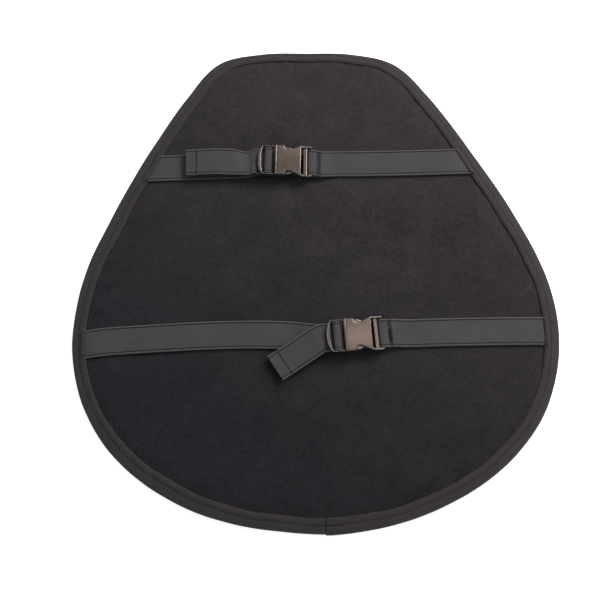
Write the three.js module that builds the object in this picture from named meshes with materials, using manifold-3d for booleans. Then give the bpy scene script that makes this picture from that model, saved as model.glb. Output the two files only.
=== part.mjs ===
// Egg-shaped padded body shield with two buckled straps across its back.
// Millimetres, +Z up, +Y towards the narrow end. The strike face lies down on z = 0, the straps
// are on top, and the origin is under the middle of the panel.

import * as THREE from "three";
import { mergeVertices } from "three/addons/utils/BufferGeometryUtils.js";
import Module from "manifold-3d";

const wasm = await Module();
wasm.setup();
const radians = THREE.MathUtils.degToRad;

// ---- panel dimensions ---------------------------------------------------
// Outline radius every 10 degrees, counter-clockwise from +X, about (0, OUTLINE_Y).
const OUTLINE_RADII = [
  203.9, 197.3, 192.3, 191.6, 194.7, 203.9, 218.7, 236.1, 237.4, 236.0, 239.7, 241.1,
  222.5, 207.3, 198.0, 193.6, 193.7, 198.6, 203.9, 209.9, 213.7, 214.7, 212.6, 208.1,
  203.6, 199.0, 195.9, 196.0, 197.5, 199.8, 203.1, 207.7, 211.9, 214.5, 213.3, 209.7,
];
const OUTLINE_Y = -20;
const BACK_Z = 12.6; // flat part of the back cover
const BACK_DROP = 2.6; // fall of the back cover at the rim
const BACK_SLOPE_W = 24; // width of the zone where it falls
const STRIKE_RISE = 5.0; // lift of the strike face at the rim
const STRIKE_SLOPE_W = 30;
const SEAM_Z = 7.85; // middle of the gap between the two foams
const SEAM_DROP = 0.4;
const COVER_T = 1.0;
const COVER_INSET = 2.0; // rim to cover edge
const FOAM_INSET = 2.6; // rim to foam edge
const GAP = 0.3; // clearance between stacked layers
const FAR_INSIDE = 999; // rim distance beyond every slope

// ---- binding dimensions -------------------------------------------------
const TAPE_T = 1.2;
const TAPE_GAP = 0.25; // tape to cover
const TAPE_STRIKE_W = 9; // width on the strike side
// Width of the tape on the strap side, every 15 degrees from +X.
const TAPE_BACK_WIDTHS = [
  13.7, 13.9, 14.4, 13.4, 12.6, 10.9, 9.9, 9.9, 12.7, 13.8, 14.2, 13.8,
  12.4, 12.3, 13.2, 14.2, 13.9, 12.9, 12.8, 13.2, 13.0, 13.3, 13.4, 13.6,
];
const TAPE_WALL_IN = 1.5; // rim to the inner face of the tape's upright wall
const TAPE_SHOULDER_IN = 1.0; // rim to the eased outer corners
const TAPE_FLAT_IN = 4; // rim to where the tape reaches full thickness
const TAPE_RIM_Z = 7.2; // height of the outermost point
const LAP_FROM = -90.5; // degrees
const LAP_TO = -86.5;
const LAP_T = 0.8;
const LAP_GAP = 0.12;
const LAP_OUTER_IN = 4.2; // rim to the outer edge of the lap
const THREAD_HALF_W = 0.5;
const THREAD_GAP = 0.08; // thread to tape, and hem stitch to webbing

// ---- strap dimensions ---------------------------------------------------
const WEB_T = 1.6;
const WEB_HALF_W = 25 / 2;
const WEB_FLAT_Z = BACK_Z + GAP + WEB_T / 2; // centre height of webbing lying on the panel
const WEB_END_GAP = 0.35; // webbing end to binding
const WEB_END_TURN = 12; // distance from the end over which the webbing skews
const STITCH_HALF_W = 0.45;
const STITCH_SPAN = 0.92; // stitch length as a share of the webbing width
const FOLD_EXIT_X = 24.8; // buckle x and z where the folded webbing leaves the end bar
const FOLD_EXIT_Z = 3.75;
const TAIL_START = [-25.2, 0.72]; // buckle x and z

// ---- buckle dimensions, in the buckle's own frame (plug at -X, socket at +X) ----
const BUCKLE_HALF = 47 / 2;
const SOCKET_H = 7.6;
const PRONG_ROOT_X = -6.4;

// Upper edge of the socket in plan: x, y, corner size.
const SOCKET_EDGE = [
  [-9.6, 13.9, 0.8],
  [-1.0, 13.9, 0.5],
  [-0.2, 10.2, 1.6],
  [3.4, 9.7, 1.6],
  [10.4, 13.2, 2.2],
  [13.2, 14.4, 1.2],
  [BUCKLE_HALF, 14.4, 2.4],
];
// Boxes cut from the socket: x0, x1, y half width, z0, z1.
const SOCKET_CUTS = [
  [-12, 11.2, 12.3, 1.7, 5.9], // latch chamber, open at the mouth and both side windows
  [13.9, 30, 20, 6.1, 9], // top of the thinner end frame
  [13.9, 30, 20, -2, 1.3], // underside of the end frame
  [13.3, 15.8, 12.8, -2, 10], // inner webbing slot
  [19.0, 21.5, 12.9, -2, 10], // outer webbing slot
  [15.7, 19.1, 12.8, 4.9, 10], // top of the bar between the slots
  [21.4, 30, 12.9, 2.65, 10], // end bar, low so that folded webbing lies level with the rails
];
// Plug frame and its webbing opening in plan: x, y, corner size.
const PLUG_FRAME = [
  [-10.4, -13.6, 0.8],
  [-10.4, 13.6, 0.8],
  [-21.2, 13.6, 2.6],
  [-BUCKLE_HALF + 0.2, 8, 2],
  [-BUCKLE_HALF - 0.4, 0, 3],
  [-BUCKLE_HALF + 0.2, -8, 2],
  [-21.2, -13.6, 2.6],
];
const PLUG_OPENING = [
  [-11.6, -12.8, 0.4],
  [-11.6, 12.8, 0.4],
  [-20.2, 12.8, 1.4],
  [-21.3, 7, 2],
  [-21.7, 0, 2],
  [-21.3, -7, 2],
  [-20.2, -12.8, 1.4],
];
const PLUG_GUIDE = [
  [PRONG_ROOT_X - 0.6, -2.2, 0],
  [6, -2.2, 0.6],
  [8.6, -0.9, 0.6],
  [8.6, 0.9, 0.6],
  [6, 2.2, 0.6],
  [PRONG_ROOT_X - 0.6, 2.2, 0],
];
// Latch prong on the +Y side in plan: x, y, corner size.
const PRONG_OUTLINE = [
  [PRONG_ROOT_X, 8.8, 0],
  [1.0, 8.3, 1],
  [9.6, 6.6, 1],
  [10.2, 8.2, 0.8],
  [6.4, 11.4, 1.5],
  [2.6, 12.9, 1],
  [-0.5, 13.1, 0.4],
  [-0.5, 11.2, 0.3],
  [PRONG_ROOT_X, 11.2, 0],
];
// Centre lines of webbing in the buckle: x, z.
const END_FOLD = [
  [34, 0.2],
  [27, 0.2],
  [22.2, 0.2],
  [20.95, 0.5],
  [20.4, 1.3],
  [20.4, 2.6],
  [20.95, 3.45],
  [22.2, FOLD_EXIT_Z],
  [FOLD_EXIT_X, FOLD_EXIT_Z - 0.05],
];
const ADJUSTER_LOOP = [
  [-15.2, -1.0],
  [-13.9, -1.0],
  [-13.1, -0.5],
  [-12.85, 0.4],
  [-12.85, 3.4],
  [-13.15, 4.2],
  [-13.9, 4.6],
  [-16.9, 4.6],
  [-17.7, 4.2],
  [-18.05, 3.3],
  [-18.05, 2.0],
  [-18.4, 1.15],
  [-19.5, 0.75],
  [-24.9, 0.72],
];

// ---- materials and meshes -----------------------------------------------
const FINISHES = {
  cover: { color: 0x1a1a1c, roughness: 0.55 },
  back: { color: 0x1d1d20, roughness: 0.9 },
  softFoam: { color: 0x5b6068, roughness: 0.95 },
  firmFoam: { color: 0x3f444b, roughness: 0.95 },
  tape: { color: 0x202022, roughness: 0.85 },
  webbing: { color: 0x2c2b2b, roughness: 0.85 },
  plastic: { color: 0x2b2826, roughness: 0.35 },
  thread: { color: 0x101010, roughness: 0.8 },
};
const shield = new THREE.Group();

function add(name, geometry, finish) {
  const material = new THREE.MeshStandardMaterial({ ...FINISHES[finish], metalness: 0 });
  const mesh = new THREE.Mesh(geometry, material);
  mesh.name = name;
  shield.add(mesh);
}

// ---- geometry helpers ---------------------------------------------------
function flatGeometry(positions, indices) {
  const geometry = new THREE.BufferGeometry();
  geometry.setAttribute("position", new THREE.BufferAttribute(Float32Array.from(positions), 3));
  geometry.setIndex(new THREE.BufferAttribute(Uint32Array.from(indices), 1));
  const flat = geometry.toNonIndexed();
  flat.computeVertexNormals();
  return flat;
}

function toSolid(geometry) {
  geometry.deleteAttribute("normal");
  geometry.deleteAttribute("uv");
  const merged = mergeVertices(geometry, 1e-4);
  return new wasm.Manifold(
    new wasm.Mesh({
      numProp: 3,
      vertProperties: new Float32Array(merged.attributes.position.array),
      triVerts: new Uint32Array(merged.index.array),
    }),
  );
}

function toGeometry(solid) {
  const { vertProperties, triVerts } = solid.getMesh();
  return flatGeometry(vertProperties, triVerts);
}

// A closed body from points and triangles, turned so that its faces point outwards.
function closedBody(points, triangles) {
  const corners = triangles.map((index) => new THREE.Vector3(...points[index]));
  let volume = 0;
  for (let i = 0; i < corners.length; i += 3)
    volume += corners[i].dot(corners[i + 1].cross(corners[i + 2]));
  if (volume < 0) triangles.reverse();
  return flatGeometry(points.flat(), triangles);
}

// Triangles between successive rings of ringSize points; looped joins the last to the first.
function sideTriangles(ringCount, ringSize, looped = false) {
  const triangles = [];
  for (let i = 0; i < (looped ? ringCount : ringCount - 1); i++) {
    const a = i * ringSize;
    const b = ((i + 1) % ringCount) * ringSize;
    for (let j = 0; j < ringSize; j++) {
      const k = (j + 1) % ringSize;
      triangles.push(a + j, b + j, b + k, a + j, b + k, a + k);
    }
  }
  return triangles;
}

// A body through successive convex rings, capped at both ends. A looped one has no caps.
function loft(rings, looped = false) {
  const size = rings[0].length;
  const triangles = sideTriangles(rings.length, size, looped);
  const end = size * (rings.length - 1);
  if (!looped)
    for (let k = 1; k + 1 < size; k++) triangles.push(0, k, k + 1, end, end + k + 1, end + k);
  return closedBody(rings.flat(), triangles);
}

// Plan points of a polygon given as [x, y, corner size], its corners eased by curves.
function roundedOutline(corners, segments) {
  const points = corners.map(([x, y]) => new THREE.Vector2(x, y));
  return points.flatMap((corner, i) => {
    const size = corners[i][2];
    if (!size) return [corner];
    const neighbours = [points.at(i - 1), points[(i + 1) % points.length]];
    const lengths = neighbours.map((point) => point.distanceTo(corner));
    const cut = Math.min(size, lengths[0] / 2, lengths[1] / 2);
    const [start, end] = neighbours.map((point, k) => corner.clone().lerp(point, cut / lengths[k]));
    return new THREE.QuadraticBezierCurve(start, corner, end).getPoints(segments);
  });
}

// An upright solid plate from z0 to z1.
function plate(corners, z0, z1, cornerSegments = 3) {
  const shape = new THREE.Shape(roundedOutline(corners, cornerSegments));
  const options = { depth: z1 - z0, bevelEnabled: false, steps: 1 };
  return toSolid(new THREE.ExtrudeGeometry(shape, options).translate(0, 0, z0));
}

// A box centred on y = 0.
const box = (x0, x1, halfY, z0, z1) =>
  plate([[x0, -halfY], [x1, -halfY], [x1, halfY], [x0, halfY]], z0, z1);

const mirrorY = (corners) => corners.map(([x, y, size]) => [x, -y, size]).reverse();

// Smooth periodic curve (Catmull-Rom) through values set every step degrees.
function periodicCurve(values, step) {
  const count = values.length;
  return (degrees) => {
    const angle = ((degrees % 360) + 360) % 360;
    const i = Math.floor(angle / step);
    const u = (angle - step * i) / step;
    const [a, b, c, d] = [-1, 0, 1, 2].map((k) => values[(i + k + count) % count]);
    return (
      0.5 *
      (2 * b +
        (-a + c) * u +
        (2 * a - 5 * b + 4 * c - d) * u * u +
        (-a + 3 * b - 3 * c + d) * u * u * u)
    );
  };
}

// ---- panel outline and heights ------------------------------------------
const outlineRadius = periodicCurve(OUTLINE_RADII, 10);
const tapeBackWidth = periodicCurve(TAPE_BACK_WIDTHS, 15);

function outlinePoint(degrees) {
  const radius = outlineRadius(degrees);
  const angle = radians(degrees);
  return [radius * Math.cos(angle), OUTLINE_Y + radius * Math.sin(angle)];
}

// The outline point moved inwards, square to the rim.
function insetPoint(degrees, inset) {
  const [x0, y0] = outlinePoint(degrees - 0.5);
  const [x1, y1] = outlinePoint(degrees + 0.5);
  const length = Math.hypot(x1 - x0, y1 - y0);
  const [x, y] = outlinePoint(degrees);
  return [x - ((y1 - y0) / length) * inset, y + ((x1 - x0) / length) * inset];
}

// Heights at a distance in from the rim.
const rimShare = (inset, width) => Math.max(0, 1 - inset / width) ** 2;
const backZ = (inset) => BACK_Z - BACK_DROP * rimShare(inset, BACK_SLOPE_W);
const strikeZ = (inset) => STRIKE_RISE * rimShare(inset, STRIKE_SLOPE_W);
const seamZ = (inset) => SEAM_Z - SEAM_DROP * rimShare(inset, BACK_SLOPE_W);
const tapeTopZ = (inset) => backZ(inset) + TAPE_GAP + TAPE_T;
const tapeBottomZ = (inset) => strikeZ(inset) - TAPE_GAP - TAPE_T;

// A layer filling the outline, with rings of points at the given insets on both faces.
function sheet(segments, insets, topZ, bottomZ) {
  const ring = (inset, z) =>
    Array.from({ length: segments }, (_, i) => [...insetPoint((360 * i) / segments, inset), z]);
  const rings = [
    ...[...insets].reverse().map((inset) => ring(inset, topZ(inset))),
    ...insets.map((inset) => ring(inset, bottomZ(inset))),
  ];
  const triangles = sideTriangles(rings.length, segments);
  const lastRing = (rings.length - 1) * segments;
  const topCentre = rings.length * segments;
  const bottomCentre = topCentre + 1;
  for (let i = 0; i < segments; i++) {
    const j = (i + 1) % segments;
    triangles.push(topCentre, i, j, bottomCentre, lastRing + j, lastRing + i);
  }
  const centres = [topZ, bottomZ].map((height) => [0, OUTLINE_Y, height(FAR_INSIDE)]);
  return closedBody([...rings.flat(), ...centres], triangles);
}

// A section swept round the outline; section(degrees) gives [inset, z] points.
function band(segments, section, from = 0, to = 360) {
  const whole = to - from >= 360;
  const rings = [];
  for (let i = 0; i < (whole ? segments : segments + 1); i++) {
    const degrees = from + ((to - from) * i) / segments;
    rings.push(section(degrees).map(([inset, z]) => [...insetPoint(degrees, inset), z]));
  }
  return loft(rings, whole);
}

// ---- panel --------------------------------------------------------------
function addPanel() {
  const strikeInsideZ = (inset) => strikeZ(inset) + COVER_T;
  const backInsideZ = (inset) => backZ(inset) - COVER_T;
  const strikeInsets = [COVER_INSET, 6, 11, 18, STRIKE_SLOPE_W + 1];
  const backInsets = [COVER_INSET, 6, 11, 17, BACK_SLOPE_W + 1];

  add("strike_cover", sheet(96, strikeInsets, strikeInsideZ, strikeZ), "cover");
  const softFoam = sheet(
    72,
    [FOAM_INSET, 8, 16, 30],
    (inset) => seamZ(inset) - GAP / 2,
    (inset) => strikeInsideZ(inset) + GAP,
  );
  add("impact_foam_soft", softFoam, "softFoam");
  const firmFoam = sheet(
    72,
    [FOAM_INSET, 8, 15, 25],
    (inset) => backInsideZ(inset) - GAP,
    (inset) => seamZ(inset) + GAP / 2,
  );
  add("backing_foam_firm", firmFoam, "firmFoam");
  add("back_cover", sheet(96, backInsets, backZ, backInsideZ), "back");
}

// ---- binding ------------------------------------------------------------
// C-shaped section: along the inside from the strap side to the strike side, then back outside.
function tapeSection(degrees) {
  const width = tapeBackWidth(degrees);
  const insideTop = (inset) => [inset, backZ(inset) + TAPE_GAP];
  const insideBottom = (inset) => [inset, strikeZ(inset) - TAPE_GAP];
  const outsideTop = (inset) => [inset, tapeTopZ(inset)];
  const outsideBottom = (inset) => [inset, tapeBottomZ(inset)];
  return [
    insideTop(width),
    insideTop(width / 2),
    insideTop(TAPE_WALL_IN),
    insideBottom(TAPE_WALL_IN),
    insideBottom(TAPE_STRIKE_W),
    outsideBottom(TAPE_STRIKE_W),
    outsideBottom(TAPE_FLAT_IN),
    [TAPE_SHOULDER_IN, strikeZ(TAPE_SHOULDER_IN) - TAPE_GAP - 0.9 * TAPE_T],
    [0, TAPE_RIM_Z],
    [TAPE_SHOULDER_IN, backZ(TAPE_SHOULDER_IN) + TAPE_GAP + 0.8 * TAPE_T],
    outsideTop(TAPE_FLAT_IN),
    outsideTop(width),
  ];
}

// The free end of the tape, a thin flap on the strap side.
function lapSection(degrees) {
  const inner = tapeBackWidth(degrees) - 0.4;
  const z = (inset) => tapeTopZ(inset) + LAP_GAP;
  return [
    [inner, z(inner) - 0.02],
    [LAP_OUTER_IN, z(LAP_OUTER_IN)],
    [LAP_OUTER_IN, z(LAP_OUTER_IN) + LAP_T],
    [inner, z(inner) + LAP_T - 0.02],
  ];
}

// Triangular section of thread standing on baseZ; a negative height points down.
const threadSection = (inset, baseZ, height) => [
  [inset - THREAD_HALF_W, baseZ(inset - THREAD_HALF_W)],
  [inset + THREAD_HALF_W, baseZ(inset + THREAD_HALF_W)],
  [inset, baseZ(inset) + height],
];

function addBinding() {
  add("edge_binding_tape", band(96, tapeSection), "tape");
  add("binding_lap_end", band(4, lapSection, LAP_FROM, LAP_TO), "tape");
  const topBase = (inset) => tapeTopZ(inset) + THREAD_GAP;
  const bottomBase = (inset) => tapeBottomZ(inset) - THREAD_GAP;
  const backSection = (degrees) => threadSection(tapeBackWidth(degrees) - 5.9, topBase, 0.45);
  const strikeSection = () => threadSection(6, bottomBase, -0.4);
  // The back thread stops one degree clear of the lap at each end.
  const backThread = band(95, backSection, LAP_TO + 1, LAP_FROM + 360 - 1);
  add("binding_thread_back", backThread, "thread");
  add("binding_thread_front", band(96, strikeSection), "thread");
}

// ---- buckle -------------------------------------------------------------
function socketSolid() {
  const body = plate([...mirrorY(SOCKET_EDGE), ...SOCKET_EDGE], 0, SOCKET_H);
  return SOCKET_CUTS.reduce((solid, cut) => solid.subtract(box(...cut)), body);
}

function plugSolid() {
  const endBarRelief = box(-30, -19.4, 12.85, -1, 2.3);
  const middleBar = box(-17.0, -13.9, 13.2, 0.9, 3.5);
  const shoulder = box(-10.6, PRONG_ROOT_X - 0.4, 11.9, 2.05, 5.55);
  return plate(PLUG_FRAME, 0.5, 5.6)
    .subtract(plate(PLUG_OPENING, -1, 8, 2))
    .subtract(endBarRelief)
    .add(middleBar)
    .add(shoulder)
    .add(plate(PLUG_GUIDE, 2.4, 5.2, 2));
}

const prongSolid = (outline) => plate(outline, 2.15, 5.45);

function addBuckle(tag, placement) {
  const parts = {
    buckle_socket: socketSolid(),
    buckle_plug: plugSolid(),
    latch_prong_top: prongSolid(PRONG_OUTLINE),
    latch_prong_bottom: prongSolid(mirrorY(PRONG_OUTLINE)),
  };
  for (const [name, solid] of Object.entries(parts))
    add(`${tag}_${name}`, toGeometry(solid).applyMatrix4(placement), "plastic");
}

// ---- webbing ------------------------------------------------------------
// A station is a centre point and the vector from there to one edge of the webbing.
const STRAIGHT = new THREE.Vector3(0, WEB_HALF_W, 0);
const station = (x, y, z, half = STRAIGHT) => ({ centre: new THREE.Vector3(x, y, z), half });

// Stations on the centre line of a placed buckle, from the buckle's own x and z.
function buckleStations(placement) {
  const half = new THREE.Vector3(0, 1, 0).transformDirection(placement);
  half.multiplyScalar(WEB_HALF_W);
  return (x, z) => ({ centre: new THREE.Vector3(x, 0, z).applyMatrix4(placement), half });
}

const direction = (from, to) => to.centre.clone().sub(from.centre).normalize();
const faceNormal = (along, half) => along.clone().cross(half.clone().normalize()).normalize();

// Webbing of even thickness through the stations, mitred where it bends.
function ribbon(stations) {
  const last = stations.length - 1;
  const rings = stations.map(({ centre, half }, i) => {
    const start = Math.max(i - 1, 0);
    const end = Math.min(i, last - 1);
    const incoming = direction(stations[start], stations[start + 1]);
    const outgoing = direction(stations[end], stations[end + 1]);
    const along = incoming.add(outgoing).normalize();
    const mitre = Math.max(0.7, along.dot(outgoing)); // the floor limits sharp bends
    const normal = faceNormal(along, half).multiplyScalar(WEB_T / 2 / mitre);
    return [[1, 1], [-1, 1], [-1, -1], [1, -1]].map(([side, face]) =>
      centre.clone().addScaledVector(half, side).addScaledVector(normal, face).toArray(),
    );
  });
  return loft(rings);
}

// A ridge of thread across the upper face, some distance from one station towards the next.
function stitch(from, to, { distance, gap, height }) {
  const along = direction(from, to);
  const normal = faceNormal(along, from.half);
  if (normal.z < 0) normal.negate();
  const base = from.centre.clone().addScaledVector(normal, WEB_T / 2 + gap);
  base.addScaledVector(along, distance);
  const rings = [-STITCH_SPAN, STITCH_SPAN].map((side) =>
    [[-STITCH_HALF_W, 0], [STITCH_HALF_W, 0], [0, height]].map(([forward, up]) =>
      base
        .clone()
        .addScaledVector(from.half, side)
        .addScaledVector(along, forward)
        .addScaledVector(normal, up)
        .toArray(),
    ),
  );
  return loft(rings);
}

// x of the binding's inner edge, plus clearance, at height y; side is 1 at +X and -1 at -X.
function bindingX(y, side) {
  let best = [0, Infinity];
  for (let degrees = -90; degrees <= 90; degrees += 0.25) {
    const angle = side > 0 ? degrees : 180 - degrees;
    const point = insetPoint(angle, tapeBackWidth(angle) + WEB_END_GAP);
    if (Math.abs(point[1] - y) < Math.abs(best[1] - y)) best = point;
  }
  return best[0];
}

// The last two stations of webbing cut to follow the binding, end first.
function bindingEnd(y, side, endZ) {
  const upperX = bindingX(y + WEB_HALF_W, side);
  const lowerX = bindingX(y - WEB_HALF_W, side);
  const x = (upperX + lowerX) / 2;
  const skew = (upperX - lowerX) / 2;
  const half = (share) => new THREE.Vector3(skew * share, WEB_HALF_W, 0);
  return [
    station(x, y, endZ, half(1)),
    station(x - side * WEB_END_TURN, y, WEB_FLAT_Z - 0.1, half(0.4)),
  ];
}

// From the tucked end, round the socket's end bar and out to the binding at +X.
function rightWebbing(at, y) {
  const exitY = at(FOLD_EXIT_X, FOLD_EXIT_Z).centre.y;
  const blendedY = (share) => y + (exitY - y) * share;
  const [end, turn] = bindingEnd(y, 1, backZ(13) + GAP + WEB_T / 2 + 0.15);
  return [
    ...END_FOLD.map(([x, z]) => at(x, z)),
    at(29.5, 2.75),
    at(34.2, 2.1),
    station(at(39.5, 2).centre.x, blendedY(0.5), WEB_FLAT_Z + 0.8),
    station(at(46, 0).centre.x, blendedY(0.2), WEB_FLAT_Z + 0.15),
    station(at(52, 0).centre.x, y, WEB_FLAT_Z),
    station(end.centre.x - 32, y, WEB_FLAT_Z),
    turn,
    end,
  ];
}

// From the binding at -X, flat on the panel, in under the plug's bars.
const leftWebbing = (at, y, path) => [
  ...bindingEnd(y, -1, backZ(11) + GAP + WEB_T / 2 + 0.25),
  ...path.map(([x, pathY, lift]) => station(x, pathY, WEB_FLAT_Z + lift)),
  at(-24, -1.2),
  at(-15.6, -1.0),
];

// Straight tail, running back over the left webbing.
const upperTail = (at) => [
  at(...TAIL_START),
  at(-28.0, 0.95),
  station(-57, 103.9, 20.6),
  station(-70, 104.3, 21.4),
  station(-84, 104.4, 21.2),
  station(-101.6, 104.5, 20.0),
  station(-110.4, 104.5, 19.2),
];

// Tail that swings from -X towards -Y as it leaves the buckle.
function lowerTail(at) {
  const start = at(...TAIL_START);
  let { x, y, z: startZ } = start.centre;
  // heading in degrees from -X, step length, turn of the width in degrees, z
  const steps = [
    [9, 2.4, 10, startZ + 0.1],
    [19, 2.6, 21, startZ + 0.1],
    [28, 2.8, 29, startZ - 0.1],
    [32, 5, 32, 18.4],
    [32, 12.4, 32, 17.2],
    [32, 12.4, 32, 16.4],
    [32, 11.6, 32, 16.0],
  ];
  const swung = steps.map(([heading, length, turn, z]) => {
    x -= Math.cos(radians(heading)) * length;
    y -= Math.sin(radians(heading)) * length;
    const angle = radians(turn);
    const half = new THREE.Vector3(-Math.sin(angle), Math.cos(angle), 0);
    return station(x, y, z, half.multiplyScalar(WEB_HALF_W));
  });
  return [start, ...swung];
}

// ---- straps -------------------------------------------------------------
// Yaw turns the buckle about Z; positive pitch lifts the plug end. Both in degrees.
function buckleMatrix({ x, y, z, yaw, pitch }) {
  return new THREE.Matrix4()
    .makeTranslation(x, y, z)
    .multiply(new THREE.Matrix4().makeRotationZ(radians(yaw)))
    .multiply(new THREE.Matrix4().makeRotationY(radians(pitch)));
}

function addStrap({ tag, buckle, leftY, rightY, leftPath, tailPath }) {
  const placement = buckleMatrix(buckle);
  const at = buckleStations(placement);
  addBuckle(tag, placement);

  const right = rightWebbing(at, rightY);
  const tail = tailPath(at);
  const runs = {
    webbing_right: right,
    webbing_left: leftWebbing(at, leftY, leftPath),
    adjuster_loop: ADJUSTER_LOOP.map(([x, z]) => at(x, z)), // round the plug's middle bar
    webbing_tail: tail,
  };
  for (const [name, stations] of Object.entries(runs))
    add(`${tag}_${name}`, ribbon(stations), "webbing");

  // The fold stitch lies just past the fold, the hem stitch near the free end of the tail.
  const [foldEnd, next] = right.slice(END_FOLD.length - 1);
  const foldStitch = stitch(foldEnd, next, {
    distance: 0.75 * foldEnd.centre.distanceTo(next.centre),
    gap: 0.06,
    height: 0.45,
  });
  add(`${tag}_fold_stitch`, foldStitch, "thread");
  const hemStitch = stitch(...tail.slice(-2), { distance: 1.0, gap: THREAD_GAP, height: 0.4 });
  add(`${tag}_tail_hem_stitch`, hemStitch, "thread");
}

// leftPath: x, y, lift above the flat webbing height.
const STRAPS = [
  {
    tag: "upper",
    buckle: { x: -22.7, y: 103.2, z: 16.6, yaw: -2.5, pitch: 5 },
    leftY: 102,
    rightY: 102,
    leftPath: [[-112, 102, 0], [-78, 102.6, 0], [-61, 103.4, 1.6]],
    tailPath: upperTail,
  },
  {
    tag: "lower",
    buckle: { x: 32.4, y: -55.6, z: 16.3, yaw: 3.4, pitch: 5 },
    leftY: -55.6,
    rightY: -54.4,
    leftPath: [
      [-160, -53.6, 0], [-137, -52.9, 0], [-96, -51.6, 0],
      [-60, -51.6, 0], [-22, -53.2, 0], [-6, -55.6, 1.5],
    ],
    tailPath: lowerTail,
  },
];

addPanel();
addBinding();
STRAPS.forEach(addStrap);

export default shield;
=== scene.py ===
"""A foam strike pad with a woven edge binding and two webbing straps with side-release buckles.

It lies strike face down on the floor. x runs along the straps, y from the lower strap to the
upper one, and z up through the pad to its back cover. Sizes are in mm unless a comment says
metres; MM turns them into metres. "Inset" is a distance in from the outline, "arc" a length
along it, counterclockwise from +x.
"""
import math

import bmesh
import bpy
import numpy as np
from mathutils import Matrix, Vector
from mathutils.bvhtree import BVHTree


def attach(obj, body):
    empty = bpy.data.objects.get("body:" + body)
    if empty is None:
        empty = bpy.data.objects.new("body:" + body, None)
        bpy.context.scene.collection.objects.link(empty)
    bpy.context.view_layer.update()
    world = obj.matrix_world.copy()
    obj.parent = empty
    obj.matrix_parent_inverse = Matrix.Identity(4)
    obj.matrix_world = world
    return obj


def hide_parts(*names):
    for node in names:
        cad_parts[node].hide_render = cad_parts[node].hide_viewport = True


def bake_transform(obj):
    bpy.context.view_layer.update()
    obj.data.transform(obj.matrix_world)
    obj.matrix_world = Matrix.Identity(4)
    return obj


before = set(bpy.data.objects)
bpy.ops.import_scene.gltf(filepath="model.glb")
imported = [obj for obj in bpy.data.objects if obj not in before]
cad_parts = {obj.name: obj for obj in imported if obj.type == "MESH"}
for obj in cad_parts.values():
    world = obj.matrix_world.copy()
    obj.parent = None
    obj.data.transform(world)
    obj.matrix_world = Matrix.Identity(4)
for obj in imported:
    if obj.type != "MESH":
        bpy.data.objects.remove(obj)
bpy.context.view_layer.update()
scene = bpy.context.scene
MM = 0.001

# ---------------------------------------------------------------- driving sizes
# outline radius about (0, OUTLINE_Y), every 10 degrees from +x
OUTLINE_R = np.array([
    203.9, 197.3, 192.3, 191.6, 194.7, 203.9, 218.7, 236.1, 237.4, 236.0, 239.7, 241.1,
    222.5, 207.3, 198.0, 193.6, 193.7, 198.6, 203.9, 209.9, 213.7, 214.7, 212.6, 208.1,
    203.6, 199.0, 195.9, 196.0, 197.5, 199.8, 203.1, 207.7, 211.9, 214.5, 213.3, 209.7])
OUTLINE_Y = -20.0
# width of the binding on the back, every 15 degrees from +x
BINDING_W = np.array([
    13.7, 13.9, 14.4, 13.4, 12.6, 10.9, 9.9, 9.9, 12.7, 13.8, 14.2, 13.8,
    12.4, 12.3, 13.2, 14.2, 13.9, 12.9, 12.8, 13.2, 13.0, 13.3, 13.4, 13.6])
BACK_Z = 12.6  # back cover away from the rim
BACK_DROP = 2.6  # its fall at the rim
BACK_IN = 24.0  # inset where the fall begins
FRONT_RISE = 5.0  # rise of the strike face at the rim
FRONT_IN = 30.0
MID_Z = 7.6  # height that parts the two covers
UP_Y = 102.0  # centre lines of the straps
LOW_Y = -54.0

TAPE_T = 1.15
TAPE_GAP = 0.12  # between cover and tape
STITCH_IN = 5.9  # stitch line from the tape's inner edge
FRONT_SEAM = 6.0  # inset of the stitch line on the strike face
STITCH_PITCH = 3.1
TAPE_EDGE = 0.9  # inset where the rounded outer edge takes over
EDGE_R = 1.9  # depth of that rounding

WEB_HALF = 24.4 / 2
WEB_T = 1.5
WEB_FLAT = BACK_Z + 0.25 + WEB_T / 2  # mid height of webbing lying on the back
FLAT_HALF = np.array([0, WEB_HALF, 0])


# ---------------------------------------------------------------- shape functions
def around(table, deg):
    """Smooth periodic value of a table spaced evenly round the turn."""
    place = np.mod(np.asarray(deg, float), 360) / (360 / len(table))
    i = np.floor(place).astype(int)
    part = place - i
    prev, here, ahead, far = (table[(i + k) % len(table)] for k in (-1, 0, 1, 2))
    return 0.5 * (2 * here + (-prev + ahead) * part
                  + (2 * prev - 5 * here + 4 * ahead - far) * part ** 2
                  + (-prev + 3 * here - 3 * ahead + far) * part ** 3)


def unit(vectors):
    return vectors / np.linalg.norm(vectors, axis=-1, keepdims=True)


def run(points):
    """Length along a polyline at each of its points."""
    return np.concatenate([[0], np.cumsum(np.linalg.norm(np.diff(points, axis=0), axis=1))])


def bell(value, centre, width):
    return np.exp(-((value - centre) / width) ** 2)


def ease(value):
    """Smooth step of a value limited to 0..1."""
    value = np.clip(value, 0, 1)
    return value * value * (3 - 2 * value)


def soft(points, seed, wavelength):
    """Smooth repeatable noise of rows of points, about -1 to 1."""
    waves = 7
    draws = np.random.RandomState(seed)
    total = np.zeros(len(points))
    for _ in range(waves):
        wave = draws.normal(size=points.shape[1])
        wave *= 2 * math.pi / wavelength / np.linalg.norm(wave) * draws.uniform(0.6, 1.5)
        total += np.sin(points @ wave + draws.uniform(0, 2 * math.pi))
    return total / math.sqrt(waves) / 1.2


def soft_line(length, seed, wavelength):
    """The same noise read along the first axis of a plane."""
    return soft(np.stack([length, length * 0], -1), seed, wavelength)


def outline(deg):
    radius = around(OUTLINE_R, deg)
    angle = np.radians(deg)
    return np.stack([radius * np.cos(angle), OUTLINE_Y + radius * np.sin(angle)], -1)


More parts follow.
